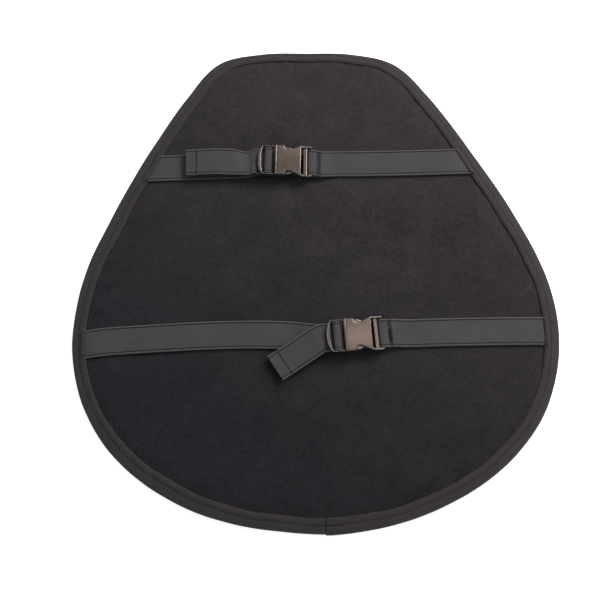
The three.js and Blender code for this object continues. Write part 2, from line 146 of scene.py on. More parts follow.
def inward(deg):
    """Unit normal of the outline, pointing in."""
    along = unit(outline(np.asarray(deg) + 0.6) - outline(np.asarray(deg) - 0.6))
    return np.stack([-along[..., 1], along[..., 0]], -1)


def z_back(inset):
    return BACK_Z - BACK_DROP * np.maximum(0, 1 - np.asarray(inset) / BACK_IN) ** 2


def z_front(inset):
    return FRONT_RISE * np.maximum(0, 1 - np.asarray(inset) / FRONT_IN) ** 2


TURN = np.linspace(0, 360, 2881)
RIM = outline(TURN[:-1])
RIM_ARC = run(np.vstack([RIM, RIM[:1]]))
PERIMETER = RIM_ARC[-1]


def deg_at(arc):
    return np.interp(np.mod(arc, PERIMETER), RIM_ARC, TURN)


def arc_at(deg):
    return np.interp(np.mod(deg, 360), TURN, RIM_ARC)


def rim_distance(points):
    """Distance of x, y points to the outline, worked out in blocks to save memory."""
    block = 4000
    out = np.empty(len(points))
    for i in range(0, len(points), block):
        gap = points[i:i + block, None, :] - RIM[::3][None]
        out[i:i + block] = np.sqrt((gap ** 2).sum(2).min(1))
    return out


# ---------------------------------------------------------------- materials
class Mat:
    """A small builder for procedural node materials."""

    def __init__(self, name):
        self.material = bpy.data.materials.new(name)
        self.material.use_nodes = True
        self.tree = self.material.node_tree
        self.tree.nodes.clear()
        output = self.node("OutputMaterial")
        self.shader = self.node("BsdfPrincipled")
        self.put(output.inputs[0], self.shader.outputs[0])
        self.pos = self.node("TexCoord").outputs["Object"]

    def put(self, socket, value):
        """Links a socket or sets a value; colours are given without alpha."""
        if isinstance(value, bpy.types.NodeSocket):
            self.tree.links.new(value, socket)
        else:
            socket.default_value = (*value, 1) if socket.type == "RGBA" else value

    def node(self, kind, **inputs):
        node = self.tree.nodes.new("ShaderNode" + kind)
        for name, value in inputs.items():
            self.put(node.inputs[name], value)
        return node

    def math(self, operation, *values):
        node = self.node("Math")
        node.operation = operation
        for socket, value in zip(node.inputs, values):
            self.put(socket, value)
        return node.outputs[0]

    def add(self, first, second):
        return self.math("ADD", first, second)

    def sub(self, first, second):
        return self.math("SUBTRACT", first, second)

    def mul(self, first, second):
        return self.math("MULTIPLY", first, second)

    def madd(self, value, factor, addend):
        return self.math("MULTIPLY_ADD", value, factor, addend)

    def band(self, value, centre, half_width):
        """1 at the centre, falling straight to 0 at the half width."""
        off = self.math("ABSOLUTE", self.sub(value, centre))
        return self.math("MAXIMUM", self.sub(1.0, self.math("DIVIDE", off, half_width)), 0.0)

    def noise(self, scale, detail=3, rough=0.5, warp=0.0, vector=None):
        return self.node("TexNoise", Vector=vector or self.pos, Scale=scale, Detail=detail,
                         Roughness=rough, Distortion=warp).outputs["Fac"]

    def cells(self, scale, randomness, feature="F1"):
        node = self.node("TexVoronoi")
        node.feature = feature
        self.put(node.inputs["Vector"], self.pos)
        self.put(node.inputs["Scale"], scale)
        self.put(node.inputs["Randomness"], randomness)
        return node.outputs["Distance"]

    def axes(self, vector):
        return self.node("SeparateXYZ", Vector=vector).outputs

    def along_across(self):
        """u along and v across a band, in mm, from its UV map."""
        node = self.node("UVMap")
        node.uv_map = "mm"
        return self.axes(node.outputs[0])[:2]

    def ramp(self, factor, *stops):
        node = self.node("ValToRGB", Fac=factor)
        for element, (place, colour) in zip(node.color_ramp.elements, stops):
            element.position = place
            element.color = (*colour, 1)
        return node.outputs[0]

    def mix(self, factor, first, second, blend="MIX"):
        node = self.node("Mix")
        node.data_type = "RGBA"
        node.blend_type = blend
        for i, value in ((0, factor), (6, first), (7, second)):  # 6 and 7 are the colours
            self.put(node.inputs[i], value)
        return node.outputs[2]

    def tinted(self, base, tint):
        return self.mix(1.0, base, tint, "MULTIPLY")

    def bump(self, height, **inputs):
        return self.node("Bump", Height=height, **inputs).outputs[0]

    def finish(self, **inputs):
        for name, value in inputs.items():
            self.put(self.shader.inputs[name.replace("_", " ")], value)
        return self.material


def back_knit():
    """Brushed loop knit: fuzzy pile and pressed patches, with painted sheen and light making it
    lighter towards +y and +x.
    """
    mat = Mat("back_knit")
    pile = mat.noise(scale=1500, detail=4, rough=0.62)
    clump = mat.noise(scale=330, rough=0.72)
    wear = mat.noise(scale=120, rough=0.6)
    loops = mat.cells(scale=900, randomness=0.9)
    nap = mat.noise(scale=38, detail=4, rough=0.55, warp=0.3)
    patch = mat.noise(scale=9, detail=2)
    # the share of each noise in the tone; clump and wear are centred on 0
    tone = mat.madd(pile, 0.75, mat.mul(nap, 0.45))
    tone = mat.add(tone, mat.madd(clump, 0.85, -0.425))
    tone = mat.add(tone, mat.madd(wear, 0.25, -0.125))
    base = mat.ramp(tone, (0.34, (0.0105, 0.0096, 0.0114)), (0.86, (0.0270, 0.0245, 0.0280)))
    base = mat.mix(mat.mul(patch, 0.35), base, (0.0225, 0.0205, 0.0242))
    # painted light: the pile is painted lighter towards +y, standing in for view-dependent nap
    # sheen, and towards +x, standing in for stronger light from the right; slopes are per metre
    x, y = mat.axes(mat.pos)[:2]
    painted_sheen_gradient = mat.madd(y, 2.9, mat.madd(nap, 0.22, 0.36))
    painted_sheen_gradient = mat.madd(x, 1.4, painted_sheen_gradient)
    base = mat.mix(painted_sheen_gradient, mat.tinted(base, (0.70, 0.71, 0.735)),
                   mat.tinted(base, (1.24, 1.22, 1.20)))
    relief = mat.add(mat.mul(pile, 1.0), mat.mul(loops, 0.8))
    normal = mat.bump(relief, Strength=0.32, Distance=0.0004)
    normal = mat.bump(nap, Strength=0.12, Distance=0.0012, Normal=normal)
    return mat.finish(Base_Color=base, Roughness=0.94, Normal=normal, Sheen_Weight=0.12,
                      Sheen_Roughness=0.5, Sheen_Tint=(0.55, 0.52, 0.58),
                      Specular_IOR_Level=0.1)


def strike_leather():
    """Grained synthetic leather with creased pebbles and rubbed high spots."""
    mat = Mat("strike_grain")

    def pebbles(scale, randomness):
        edge = mat.cells(scale, randomness, "DISTANCE_TO_EDGE")
        return mat.math("MINIMUM", mat.mul(edge, 6.0), 1.0)  # 6 sets how steep a crease is

    fine = mat.noise(scale=2200, rough=0.6)
    wear = mat.noise(scale=16, detail=5, rough=0.6, warp=0.4)
    # small pebbles and fine noise at 0.4 and 0.25 of the large pebbles' height
    small = mat.mul(pebbles(scale=1300, randomness=1.0), 0.4)
    relief = mat.add(pebbles(scale=520, randomness=0.95), small)
    relief = mat.add(relief, mat.mul(fine, 0.25))
    return mat.finish(Base_Color=mat.mix(wear, (0.012, 0.012, 0.0128), (0.027, 0.0265, 0.027)),
                      Roughness=mat.madd(wear, 0.22, 0.36),  # 0.36 to 0.58
                      Normal=mat.bump(relief, Strength=0.5, Distance=0.00035),
                      Specular_IOR_Level=0.45)


def tape_weave():
    """Ribbed woven binding tape."""
    mat = Mat("binding_weave")
    u, v = mat.along_across()
    rib_pitch, warp_pitch = 0.95, 0.75
    ribs = mat.math("SINE", mat.mul(u, 2 * math.pi / rib_pitch))
    slant = mat.mul(u, math.pi / rib_pitch)
    warp = mat.math("SINE", mat.add(mat.mul(v, 2 * math.pi / warp_pitch), slant))
    fuzz = mat.noise(scale=1800, rough=0.6)
    tone = mat.noise(scale=60, detail=4, rough=0.6)
    # heights, then the share of each in the colour
    relief = mat.add(mat.mul(ribs, 0.5), mat.mul(warp, 0.35))
    relief = mat.add(relief, mat.mul(fuzz, 1.1))
    shade = mat.madd(mat.add(ribs, warp), 0.12, mat.madd(fuzz, 0.5, mat.mul(tone, 0.4)))
    base = mat.ramp(shade, (0.15, (0.0147, 0.0127, 0.0131)), (0.8, (0.0389, 0.0340, 0.0349)))
    # darker between the stitching and the free edge
    darker_inner_band = mat.ramp(mat.math("DIVIDE", v, 12.0), (0.44, (1, 1, 1)), (0.50, (0, 0, 0)))
    base = mat.mix(mat.mul(darker_inner_band, 0.9), base, mat.tinted(base, (0.89, 0.885, 0.89)))
    # painted shade: dark lines along the seam, where the stitches shade the tape, and at the free
    # edge, where the tape meets the cover
    for centre, half_width, strength, colour in (
            (STITCH_IN + 0.35, 0.8, 0.18, (0.012, 0.0115, 0.0115)),
            (0.15, 0.75, 0.7, (0.006, 0.0055, 0.006))):
        base = mat.mix(mat.mul(mat.band(v, centre, half_width), strength), base, colour)
    return mat.finish(Base_Color=base, Roughness=0.8,
                      Normal=mat.bump(relief, Strength=0.5, Distance=0.00022),
                      Sheen_Weight=0.18, Sheen_Roughness=0.45, Sheen_Tint=(0.7, 0.68, 0.68),
                      Specular_IOR_Level=0.25)


def webbing_weave():
    """Webbing: chevron ribs over fine lengthwise cords, with painted highlights on the selvedges and
    painted shade in their grooves and sewn rows.
    """
    mat = Mat("webbing_weave")
    u, v = mat.along_across()
    rib_pitch, cord_pitch = 1.25, 0.8
    # ribs swing forward and back every 1.6 mm across, by 2.4 radians per mm
    swing = mat.mul(mat.math("PINGPONG", v, 1.6), 2.4)
    chevron = mat.math("SINE", mat.add(mat.mul(u, 2 * math.pi / rib_pitch), swing))
    cords = mat.math("SINE", mat.mul(v, 2 * math.pi / cord_pitch))
    fuzz = mat.noise(scale=1500, rough=0.6)
    tone = mat.noise(scale=45, detail=4, rough=0.55)
    pilling = mat.noise(scale=420, detail=2)
    # heights, then the share of each in the colour
    relief = mat.add(mat.mul(chevron, 0.45), mat.mul(cords, 0.35))
    relief = mat.add(relief, mat.mul(fuzz, 1.0))
    mottle = mat.add(mat.mul(fuzz, 0.35), mat.add(mat.mul(tone, 0.35), mat.mul(pilling, 0.2)))
    shade = mat.madd(mat.add(chevron, mat.mul(cords, 0.6)), 0.10, mottle)
    base = mat.ramp(shade, (0.2, (0.0282, 0.0270, 0.0290)), (0.75, (0.0585, 0.0560, 0.0600)))
    # painted shade in the groove beside each selvedge, steepened by 1.25 and held to 0.95
    across = mat.math("ABSOLUTE", v)
    groove = mat.mul(mat.band(across, WEB_HALF - 2.0, 0.75), 1.25)
    base = mat.mix(mat.math("MINIMUM", groove, 0.95), base, (0.010, 0.0095, 0.0095))
    # painted shade: darker along the sewn rows, where the pulled-in surface is shaded
    seam = mat.node("Attribute")
    seam.attribute_name = "seam"
    base = mat.mix(mat.mul(seam.outputs["Fac"], 0.9), base, (0.008, 0.0075, 0.0075))
    # painted highlight along each selvedge ridge: starts 1.45 in from the edge, fades in over 0.4
    selvedge = mat.math("DIVIDE", mat.sub(across, WEB_HALF - 1.45), 0.4)
    selvedge = mat.math("MINIMUM", mat.math("MAXIMUM", selvedge, 0.0), 1.0)
    base = mat.mix(mat.mul(selvedge, 0.45), base, (0.085, 0.081, 0.081))
    return mat.finish(Base_Color=base, Roughness=0.82,
                      Normal=mat.bump(relief, Strength=0.5, Distance=0.00022),
                      Sheen_Weight=0.2, Sheen_Roughness=0.4, Sheen_Tint=(0.72, 0.71, 0.74),
                      Specular_IOR_Level=0.25)


def moulded_acetal():
    """Satin moulded plastic with a fine texture, scuffs and a painted highlight on its convex edges.
    """
    mat = Mat("moulded_acetal")
    spark = mat.noise(scale=3200, detail=2)
    flow = mat.noise(scale=120, warp=0.6)
    stretched = mat.node("Mapping", Vector=mat.pos, Scale=(260, 2600, 900),
                         Rotation=(0.1, 0.2, 0.5))
    scuff = mat.noise(scale=1.0, detail=2, rough=0.6, vector=stretched.outputs[0])
    pointed = mat.node("NewGeometry").outputs["Pointiness"]
    edge = mat.ramp(pointed, (0.498, (0, 0, 0)), (0.56, (1, 1, 1)))
    base = mat.mix(flow, (0.026, 0.0205, 0.0175), (0.036, 0.0285, 0.0245))
    # painted highlight: convex edges are mixed to a pale cool grey, standing in for glints of the
    # lights on the rounded bars
    base = mat.mix(mat.mul(edge, 0.62), base, (0.155, 0.163, 0.176))
    # roughness from 0.20, raised by up to 0.05 in scuffs and 0.07 by the flow marks
    rough = mat.add(mat.madd(scuff, 0.05, 0.20), mat.mul(flow, 0.07))
    relief = mat.add(spark, mat.mul(scuff, 0.08))
    return mat.finish(Base_Color=base, Roughness=rough,
                      Normal=mat.bump(relief, Strength=0.12, Distance=0.00012),
                      Specular_IOR_Level=0.95,
                      Specular_Tint=mat.mix(edge, (1.0, 0.80, 0.68), (1.0, 1.0, 1.0)))


def twisted_thread():
    mat = Mat("twisted_thread")
    twist = mat.node("TexWave", Vector=mat.pos, Scale=700)
    twist.bands_direction = "DIAGONAL"
    fuzz = mat.noise(scale=2500, detail=2, rough=0.6)
    return mat.finish(Base_Color=mat.mix(fuzz, (0.004, 0.0038, 0.0038), (0.010, 0.0095, 0.0095)),
                      Roughness=0.8, Specular_IOR_Level=0.12,
                      Normal=mat.bump(twist.outputs["Fac"], Strength=0.4, Distance=0.0001))


def cell_foam(name, dark, light):
    mat = Mat(name)
    bubbles = mat.cells(scale=900, randomness=1.0)
    return mat.finish(Base_Color=mat.mix(mat.noise(scale=20), dark, light), Roughness=0.95,
                      Normal=mat.bump(bubbles, Strength=0.6, Distance=0.0004),
                      Sheen_Weight=0.1)


KNIT = back_knit()
LEATHER = strike_leather()
TAPE = tape_weave()
WEBBING = webbing_weave()
ACETAL = moulded_acetal()
THREAD = twisted_thread()
SOFT_FOAM = cell_foam("soft_cell_foam", (0.30, 0.31, 0.33), (0.38, 0.39, 0.41))
FIRM_FOAM = cell_foam("firm_cell_foam", (0.15, 0.16, 0.18), (0.21, 0.22, 0.24))


# ---------------------------------------------------------------- mesh helpers
def label(piece, slot, *replaced):
    if replaced:
        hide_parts(*replaced)


def assign(piece, part, slot, *replaced):
    """The part a piece moves with, its colour slot (not used) and the CAD pieces it replaces."""
    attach(piece, part)
    label(piece, slot, *replaced)


def new_mesh(name, verts, faces, material, uv=None):
    """A smooth-shaded object from points in mm; uv holds one pair for each point."""
    mesh = bpy.data.meshes.new(name)
    mesh.from_pydata([tuple(v) for v in (np.asarray(verts, float) * MM)], [], faces)
    if uv is not None:
        layer = mesh.uv_layers.new(name="mm")
        index = np.zeros(len(mesh.loops), np.int32)
        mesh.loops.foreach_get("vertex_index", index)
        layer.data.foreach_set("uv", np.asarray(uv, np.float32)[index].ravel())
    mesh.validate()
    mesh.update()
    smooth_shade(mesh)
    piece = bpy.data.objects.new(name, mesh)
    scene.collection.objects.link(piece)
    if material:
        mesh.materials.append(material)
    return piece


def smooth_shade(mesh):
    mesh.polygons.foreach_set("use_smooth", np.ones(len(mesh.polygons), bool))


def outward(piece):
    """Turns every face of a closed piece outwards."""
    work = bmesh.new()
    work.from_mesh(piece.data)
    bmesh.ops.recalc_face_normals(work, faces=work.faces)
    work.to_mesh(piece.data)
    work.free()
    piece.data.update()
    return piece


def tube_faces(rings, count, closed, base=0):
    """Quads between rings of count points; an open tube gets end caps."""
    faces = []
    for i in range(rings if closed else rings - 1):
        here, there = base + i * count, base + (i + 1) % rings * count
        for k in range(count):
            l = (k + 1) % count
            faces.append((here + k, there + k, there + l, here + l))
    if not closed:
        faces.append(tuple(base + k for k in range(count - 1, -1, -1)))
        faces.append(tuple(base + (rings - 1) * count + k for k in range(count)))
    return faces


def spline(rows, knots, query):
    """Smooth curve through rows at the knots, read at the query lengths."""
    i = np.clip(np.searchsorted(knots, query, side="right") - 1, 0, len(knots) - 2)
    gaps = np.diff(knots)[:, None]
    slopes = np.diff(rows, axis=0) / gaps
    tangent = np.zeros_like(rows)
    tangent[0], tangent[-1] = slopes[0], slopes[-1]
    tangent[1:-1] = (slopes[:-1] * gaps[1:] + slopes[1:] * gaps[:-1]) / (gaps[1:] + gaps[:-1])
    gap = gaps[i]
    t = (query - knots[i])[:, None] / gap
    return ((2 * t ** 3 - 3 * t ** 2 + 1) * rows[i]
            + (t ** 3 - 2 * t ** 2 + t) * gap * tangent[i]
            + (-2 * t ** 3 + 3 * t ** 2) * rows[i + 1] + (t ** 3 - t ** 2) * gap * tangent[i + 1])


def centres(stations):
    return np.array([centre for centre, _ in stations], float)


def webbing(name, stations, seed, thick=WEB_T, step=0.9, wave=0.12, keep=None, rows=()):
    """A woven band with selvedges along stations of (centre, half-width vector).

    keep limits the lengths that are built; rows are the lengths of sewn rows across.
    """
    points = centres(stations)
    knots = run(points)
    length = np.linspace(0, knots[-1], int(round(knots[-1] / step)) + 1)
    if keep is not None:
        length = length[(length >= keep[0]) & (length <= keep[1])]
    centre = spline(points, knots, length)
    halves = spline(np.array([half for _, half in stations], float), knots, length)
    lateral = unit(halves)
    normal = unit(np.cross(unit(np.gradient(centre, axis=0)), lateral))
    # samples across, in from the edge, denser at the selvedge
    near = [0, 0.12, 0.32, 0.6, 0.95, 1.3, 1.6, 1.8, 2.0, 2.2, 2.45, 2.9, 3.5]
    left = np.concatenate([near, np.linspace(4.4, WEB_HALF, 9)]) - WEB_HALF
    across = np.concatenate([left, -left[-2::-1]])
    off = np.abs(across)
    edge = (1 - np.clip((off - (WEB_HALF - 0.55)) / 0.55, 0, 1) ** 2.2) ** 0.5
    groove = -0.40 * bell(off, WEB_HALF - 2.0, 0.34)
    ridge = 0.16 * bell(off, WEB_HALF - 1.1, 0.5)
    grid_u, grid_v = np.meshgrid(length, across, indexing="ij")
    weave = 0.028 * np.sin(2 * math.pi * grid_u / 2.5 + np.round(grid_v / 1.55) * math.pi)
    weave *= off < WEB_HALF - 1.6
    # sewn rows pull the top surface in; sewn also marks the rows for the material's painted shade
    pull = np.zeros(len(length))
    sewn = np.zeros(len(length))
    for row in rows:
        pull -= 0.55 * bell(length, row, 0.7)
        pull += 0.10 * bell(np.abs(length - row), 1.5, 0.8)
        sewn = np.maximum(sewn, bell(length, row, 0.95))
    body = (thick / 2 + groove + ridge + weave) * edge
    lift = (wave * soft_line(length, seed, 46)[:, None]
            + 0.10 * soft_line(length, seed + 5, 60)[:, None] * (grid_v / WEB_HALF))
    scale = np.linalg.norm(halves, axis=1)[:, None] / WEB_HALF
    mid = centre[:, None, :] + lateral[:, None, :] * (grid_v * scale)[..., None]

    def surface(height):
        return mid + normal[:, None, :] * (height + lift)[..., None]

    def looped(top, bottom):
        """Top values across, then bottom values back."""
        return np.concatenate([top, bottom[:, -2:0:-1]], 1)

    ring = looped(surface(body + pull[:, None] * edge), surface(-body))
    uv = np.stack([looped(grid_u, grid_u), looped(grid_v, grid_v)], -1).reshape(-1, 2)
    faces = tube_faces(len(length), ring.shape[1], False)
    piece = new_mesh(name, ring.reshape(-1, 3), faces, WEBBING, uv)
    # the seam attribute carries the sewn rows to the painted shade in the webbing material
    seam = looped(sewn[:, None] + 0 * grid_u, 0 * grid_u).astype(np.float32).ravel()
    piece.data.attributes.new("seam", "FLOAT", "POINT").data.foreach_set("value", seam)
    outward(piece)
    piece.data.set_sharp_from_angle(angle=math.radians(65))
    return piece


def seat(piece, points, up, sink):
    """Points moved along up onto the surface of a piece, less sink."""
    mesh = piece.data
    tree = BVHTree.FromPolygons([v.co for v in mesh.vertices],
                                [tuple(f.vertices) for f in mesh.polygons])
    up = unit(up)
    out = []
    for point in points:
        hit = tree.ray_cast(Vector((point + up * 4) * MM), Vector(-up), 9 * MM)[0]
        out.append(point if hit is None else np.array(hit) / MM - up * sink)
    return out


def stitch_row(name, points, along, up, length, radius, sink):
    """Single lock stitches centred on points; sink lowers their ends."""
    points = np.asarray(points, float)
    along, up = (np.broadcast_to(v, points.shape) for v in (along, up))
    side = np.cross(along, up)
    count, spans = 6, 6
    verts, faces = [], []
    for i in range(len(points)):
        faces += tube_faces(spans + 1, count, False, len(verts))
        for j in range(spans + 1):
            f = j / spans * 2 - 1
            rise = radius * 0.6 - sink * f * f * 2.2
            centre = points[i] + along[i] * (f * length / 2) + up[i] * rise
            girth = radius * math.sqrt(max(0.08, 1 - abs(f) ** 3))
            for k in range(count):
                a = 2 * math.pi * k / count
                verts.append(centre + side[i] * (math.cos(a) * girth * 1.15)
                             + up[i] * (math.sin(a) * girth))
    return outward(new_mesh(name, verts, faces, THREAD))


# ---------------------------------------------------------------- signed distance modelling
def sd_polygon(points, X, Y):
    """Signed distance to a polygon, negative inside."""
    starts = np.asarray(points, float)
    squared = np.full(X.shape, 1e9)
    inside = np.zeros(X.shape, bool)
    for (x0, y0), (x1, y1) in zip(starts, np.roll(starts, -1, 0)):
        ex, ey = x1 - x0, y1 - y0
        wx, wy = X - x0, Y - y0
        t = np.clip((wx * ex + wy * ey) / (ex * ex + ey * ey + 1e-12), 0, 1)
        squared = np.minimum(squared, (wx - ex * t) ** 2 + (wy - ey * t) ** 2)
        spans = (y0 <= Y) != (y1 <= Y)
        inside ^= spans & (X < x0 + wy / (ey + 1e-30) * ex)
    return np.where(inside, -np.sqrt(squared), np.sqrt(squared))


def round_join(sides, radius):
    """Distance where several sides meet at an edge rounded by the radius."""
    deepest = sides[0]
    for side in sides[1:]:
        deepest = np.maximum(deepest, side)
    return (np.minimum(deepest, 0)
            + np.sqrt(sum(np.maximum(side, 0) ** 2 for side in sides)) - radius)


def plate(points, X, Y, Z, z0, z1, radius):
    """A polygon plate between z0 and z1."""
    flat = sd_polygon(points, X[:, :, 0], Y[:, :, 0])[:, :, None]
    return round_join([flat + radius, np.abs(Z - (z0 + z1) / 2) - ((z1 - z0) / 2 - radius)],
                      radius)


def box(X, Y, Z, x0, x1, y_half, z0, z1, radius):
    """A box centred on y = 0."""
    return round_join([np.abs(X - (x0 + x1) / 2) - ((x1 - x0) / 2 - radius),
                       np.abs(Y) - (y_half - radius),
                       np.abs(Z - (z0 + z1) / 2) - ((z1 - z0) / 2 - radius)], radius)


def join(first, second, blend):
    h = np.clip(0.5 + 0.5 * (second - first) / blend, 0, 1)
    return second + (first - second) * h - blend * h * (1 - h)


def cut(body, tool, blend):
    return -join(-body, tool, blend)


def halves_of(axis):
    """Index tuples for all but the last and all but the first layer on an axis."""
    lower, upper = [slice(None)] * 3, [slice(None)] * 3
    lower[axis], upper[axis] = slice(0, -1), slice(1, None)
    return tuple(lower), tuple(upper)


def surface_nets(field, origin, step):
    """A closed quad mesh of the zero surface of a field on a grid."""
    solid = field < 0
    cells = tuple(n - 1 for n in field.shape)
    total = np.zeros(cells + (3,))
    count = np.zeros(cells)
    index = np.moveaxis(np.indices(field.shape).astype(float), 0, -1)
    for axis in range(3):
        lower, upper = halves_of(axis)
        cross = solid[lower] != solid[upper]
        part = np.where(cross, field[lower] / np.where(cross, field[lower] - field[upper], 1), 0)
        place = index[lower].copy()
        place[..., axis] += part
        first, second = [halves_of(k) for k in range(3) if k != axis]
        for near in first:
            for side in second:
                hit = cross[near][side]
                total += np.where(hit[..., None], place[near][side], 0)
                count += hit
    live = count > 0
    ids = -np.ones(cells, np.int64)
    ids[live] = np.arange(live.sum())
    verts = total[live] / count[live][:, None] * step + origin
    faces = []
    for axis in range(3):
        lower, upper = halves_of(axis)
        first, second = [(1, 2), (2, 0), (0, 1)][axis]
        edges = np.argwhere(solid[lower] != solid[upper])
        for k in (first, second):
            edges = edges[(edges[:, k] > 0) & (edges[:, k] < field.shape[k] - 1)]
        corners = []
        for i, j in ((0, 0), (1, 0), (1, 1), (0, 1)):
            cell = edges.copy()
            cell[:, first] -= 1 - i
            cell[:, second] -= 1 - j
            corners.append(ids[tuple(cell.T)])
        quads = np.stack(corners, 1)
        flip = ~solid[lower][tuple(edges.T)]
        quads[flip] = quads[flip][:, ::-1]
        faces.append(quads)
    return verts, np.concatenate(faces)


def moulded(name, field, low, high, step, place):
    """Meshes a field(X, Y, Z) in the buckle's own frame and puts it in place."""
    axes = []
    for start, end in zip(low, high):
        start -= 3 * step
        count = int(math.ceil((end + 3 * step - start) / step)) + 1
        axes.append(start + step * np.arange(count) + 0.013)  # keeps faces off grid planes
    grid = np.meshgrid(*axes, indexing="ij")
    verts, quads = surface_nets(field(*grid), np.array([a[0] for a in axes]), step)
    # two light relaxing passes keep moulded radii smooth
    for _ in range(2):
        total = np.zeros_like(verts)
        count = np.zeros(len(verts))
        for a in range(4):
            i, j = quads[:, a], quads[:, (a + 1) % 4]
            for here, there in ((i, j), (j, i)):
                np.add.at(total, here, verts[there])
                np.add.at(count, here, 1)
        verts = verts * 0.6 + total / count[:, None] * 0.4
    turn, origin = place
    return new_mesh(name, verts @ turn.T + origin, quads.tolist(), ACETAL)


# ---------------------------------------------------------------- buckle shapes
# In a buckle's frame x runs along the strap from plug to socket and z away from the pad.
def placed(x, y, z, yaw, pitch):
    """Rotation and origin of a buckle; angles in degrees."""
    cos_y, sin_y = math.cos(math.radians(yaw)), math.sin(math.radians(yaw))
    cos_p, sin_p = math.cos(math.radians(pitch)), math.sin(math.radians(pitch))
    about_z = np.array([[cos_y, -sin_y, 0], [sin_y, cos_y, 0], [0, 0, 1]])
    about_y = np.array([[cos_p, 0, sin_p], [0, 1, 0], [-sin_p, 0, cos_p]])
    return about_z @ about_y, np.array([x, y, z], float)


PLACE = {"upper": placed(-22.7, 103.2, 16.6, yaw=-2.5, pitch=5),
         "lower": placed(32.4, -55.6, 16.3, yaw=3.4, pitch=5)}
BUCKLE_HALF = 23.5
BUCKLE_H = 7.6


def rounded(corners, steps=5):
    """Polygon with corners (x, y, radius) turned into short curves."""
    out = []
    for i, (x, y, radius) in enumerate(corners):
        if not radius:
            out.append((x, y))
            continue
        legs = []
        for other in (corners[i - 1], corners[(i + 1) % len(corners)]):
            legs.append((other, math.hypot(other[0] - x, other[1] - y)))
        reach = min(radius, legs[0][1] / 2, legs[1][1] / 2)
        (px, py), (qx, qy) = [(x + (o[0] - x) / size * reach, y + (o[1] - y) / size * reach)
                              for o, size in legs]
        for j in range(steps + 1):
            t = j / steps
            out.append(((1 - t) ** 2 * px + 2 * t * (1 - t) * x + t * t * qx,
                        (1 - t) ** 2 * py + 2 * t * (1 - t) * y + t * t * qy))
    return out


# corners (x, y, radius); the socket's are its +y half only
SOCKET_EDGE = [(-9.6, 13.9, 0.8), (-1.2, 13.9, 0.7), (-0.5, 10.4, 1.8), (3.2, 9.7, 2.2),
               (10.2, 13.0, 3.0), (13.2, 14.4, 1.6), (BUCKLE_HALF, 14.4, 2.6)]
PLUG_EDGE = [(-10.4, -13.6, 0.8), (-10.4, 13.6, 0.8), (-21.1, 13.6, 3.6),
             (-BUCKLE_HALF - 0.5, 8, 4), (-BUCKLE_HALF - 1.0, 0, 5),
             (-BUCKLE_HALF - 0.5, -8, 4), (-21.1, -13.6, 3.6)]
PLUG_HOLE = [(-11.6, -12.8, 0.5), (-11.6, 12.8, 0.5), (-20.3, 12.8, 1.6), (-21.5, 7, 3),
             (-21.9, 0, 4), (-21.5, -7, 3), (-20.3, -12.8, 1.6)]
TONGUE = [(-7.4, -2.2, 0), (6, -2.2, 0.8), (8.6, -0.9, 0.8), (8.6, 0.9, 0.8), (6, 2.2, 0.8),
          (-7.4, 2.2, 0)]
PRONG = [(-6.4, 8.8, 0), (1.0, 8.3, 1.5), (9.6, 6.6, 1.2), (10.2, 8.2, 1.0), (6.4, 11.4, 2.0),
         (2.6, 12.9, 1.4), (-0.5, 13.1, 0.6), (-0.5, 11.2, 0.5), (-6.4, 11.2, 0)]
# boxes (x0, x1, y half, z0, z1, radius), each with its blend
SOCKET_END_CUTS = [
    ((13.35, 15.8, 12.7, -3, 12, 0.35), 0.35),
    ((19.0, 21.5, 12.9, -3, 12, 0.35), 0.35),
    ((15.4, 19.3, 12.75, 4.9, 12, 0.4), 0.35),
    ((20.9, 30, 12.9, 2.55, 12, 0.3), 0.3),
    ((20.9, 30, 12.9, -3, 1.1, 0.2), 0.2)]
PLUG_CUTS = [
    ((-30, -19.4, 12.85, -3, 2.3, 0.4), 0.4),
    ((-12.4, -9.3, 12.75, 1.7, 9, 0.3), 0.3)]
PLUG_BARS = [
    ((-17.0, -13.9, 13.2, 0.9, 3.5, 0.5), 0.4),
    ((-9.2, -6.8, 11.9, 2.05, 5.5, 0.35), 0.3)]


def socket_field(X, Y, Z):
    mirrored = [(x, -y, radius) for x, y, radius in SOCKET_EDGE][::-1]
    # the top is crowned and falls towards the mouth
    crown = 0.55 * (Y / 14) ** 2 + 0.5 * np.clip((-6.5 - X) / 3.5, 0, 1) ** 2
    crowned = Z + np.where(Z > BUCKLE_H / 2, crown, -crown * 0.5)
    body = plate(rounded(SOCKET_EDGE + mirrored), X, Y, crowned, 0, BUCKLE_H, 0.75)
    body = cut(body, box(X, Y, Z, -12, 11.2, 12.3, 1.75, 5.75, 0.3), 0.3)
    # thinner end frame, reached by a short ramp
    ramp = np.clip((X - 12.6) / 2.4, 0, 1)
    body = np.maximum(body, Z - (BUCKLE_H + 0.6 - ramp * 2.1))
    body = np.maximum(body, ramp * 1.3 - Z)
    for sizes, blend in SOCKET_END_CUTS:
        body = cut(body, box(X, Y, Z, *sizes), blend)
    # raised lip over the mouth
    lip = box(X, Y, crowned, -9.6, -8.3, 13.7, 6.2, BUCKLE_H + 0.22, 0.35)
    return join(body, lip, 0.4)


def plug_field(X, Y, Z):
    body = plate(rounded(PLUG_EDGE), X, Y, Z, 0.5, 5.75, 0.6)
    # slope the top at the outer end
    body = np.maximum(body, (Z - 5.7 + 0.51 * (-22.9 - X)) * 0.891)
    body = cut(body, plate(rounded(PLUG_HOLE), X, Y, Z, -3, 9, 0.2), 0.4)
    for sizes, blend in PLUG_CUTS:
        body = cut(body, box(X, Y, Z, *sizes), blend)
    for sizes, blend in PLUG_BARS:
        body = join(body, box(X, Y, Z, *sizes), blend)
    return join(body, plate(rounded(TONGUE), X, Y, Z, 2.4, 5.2, 0.35), 0.6)


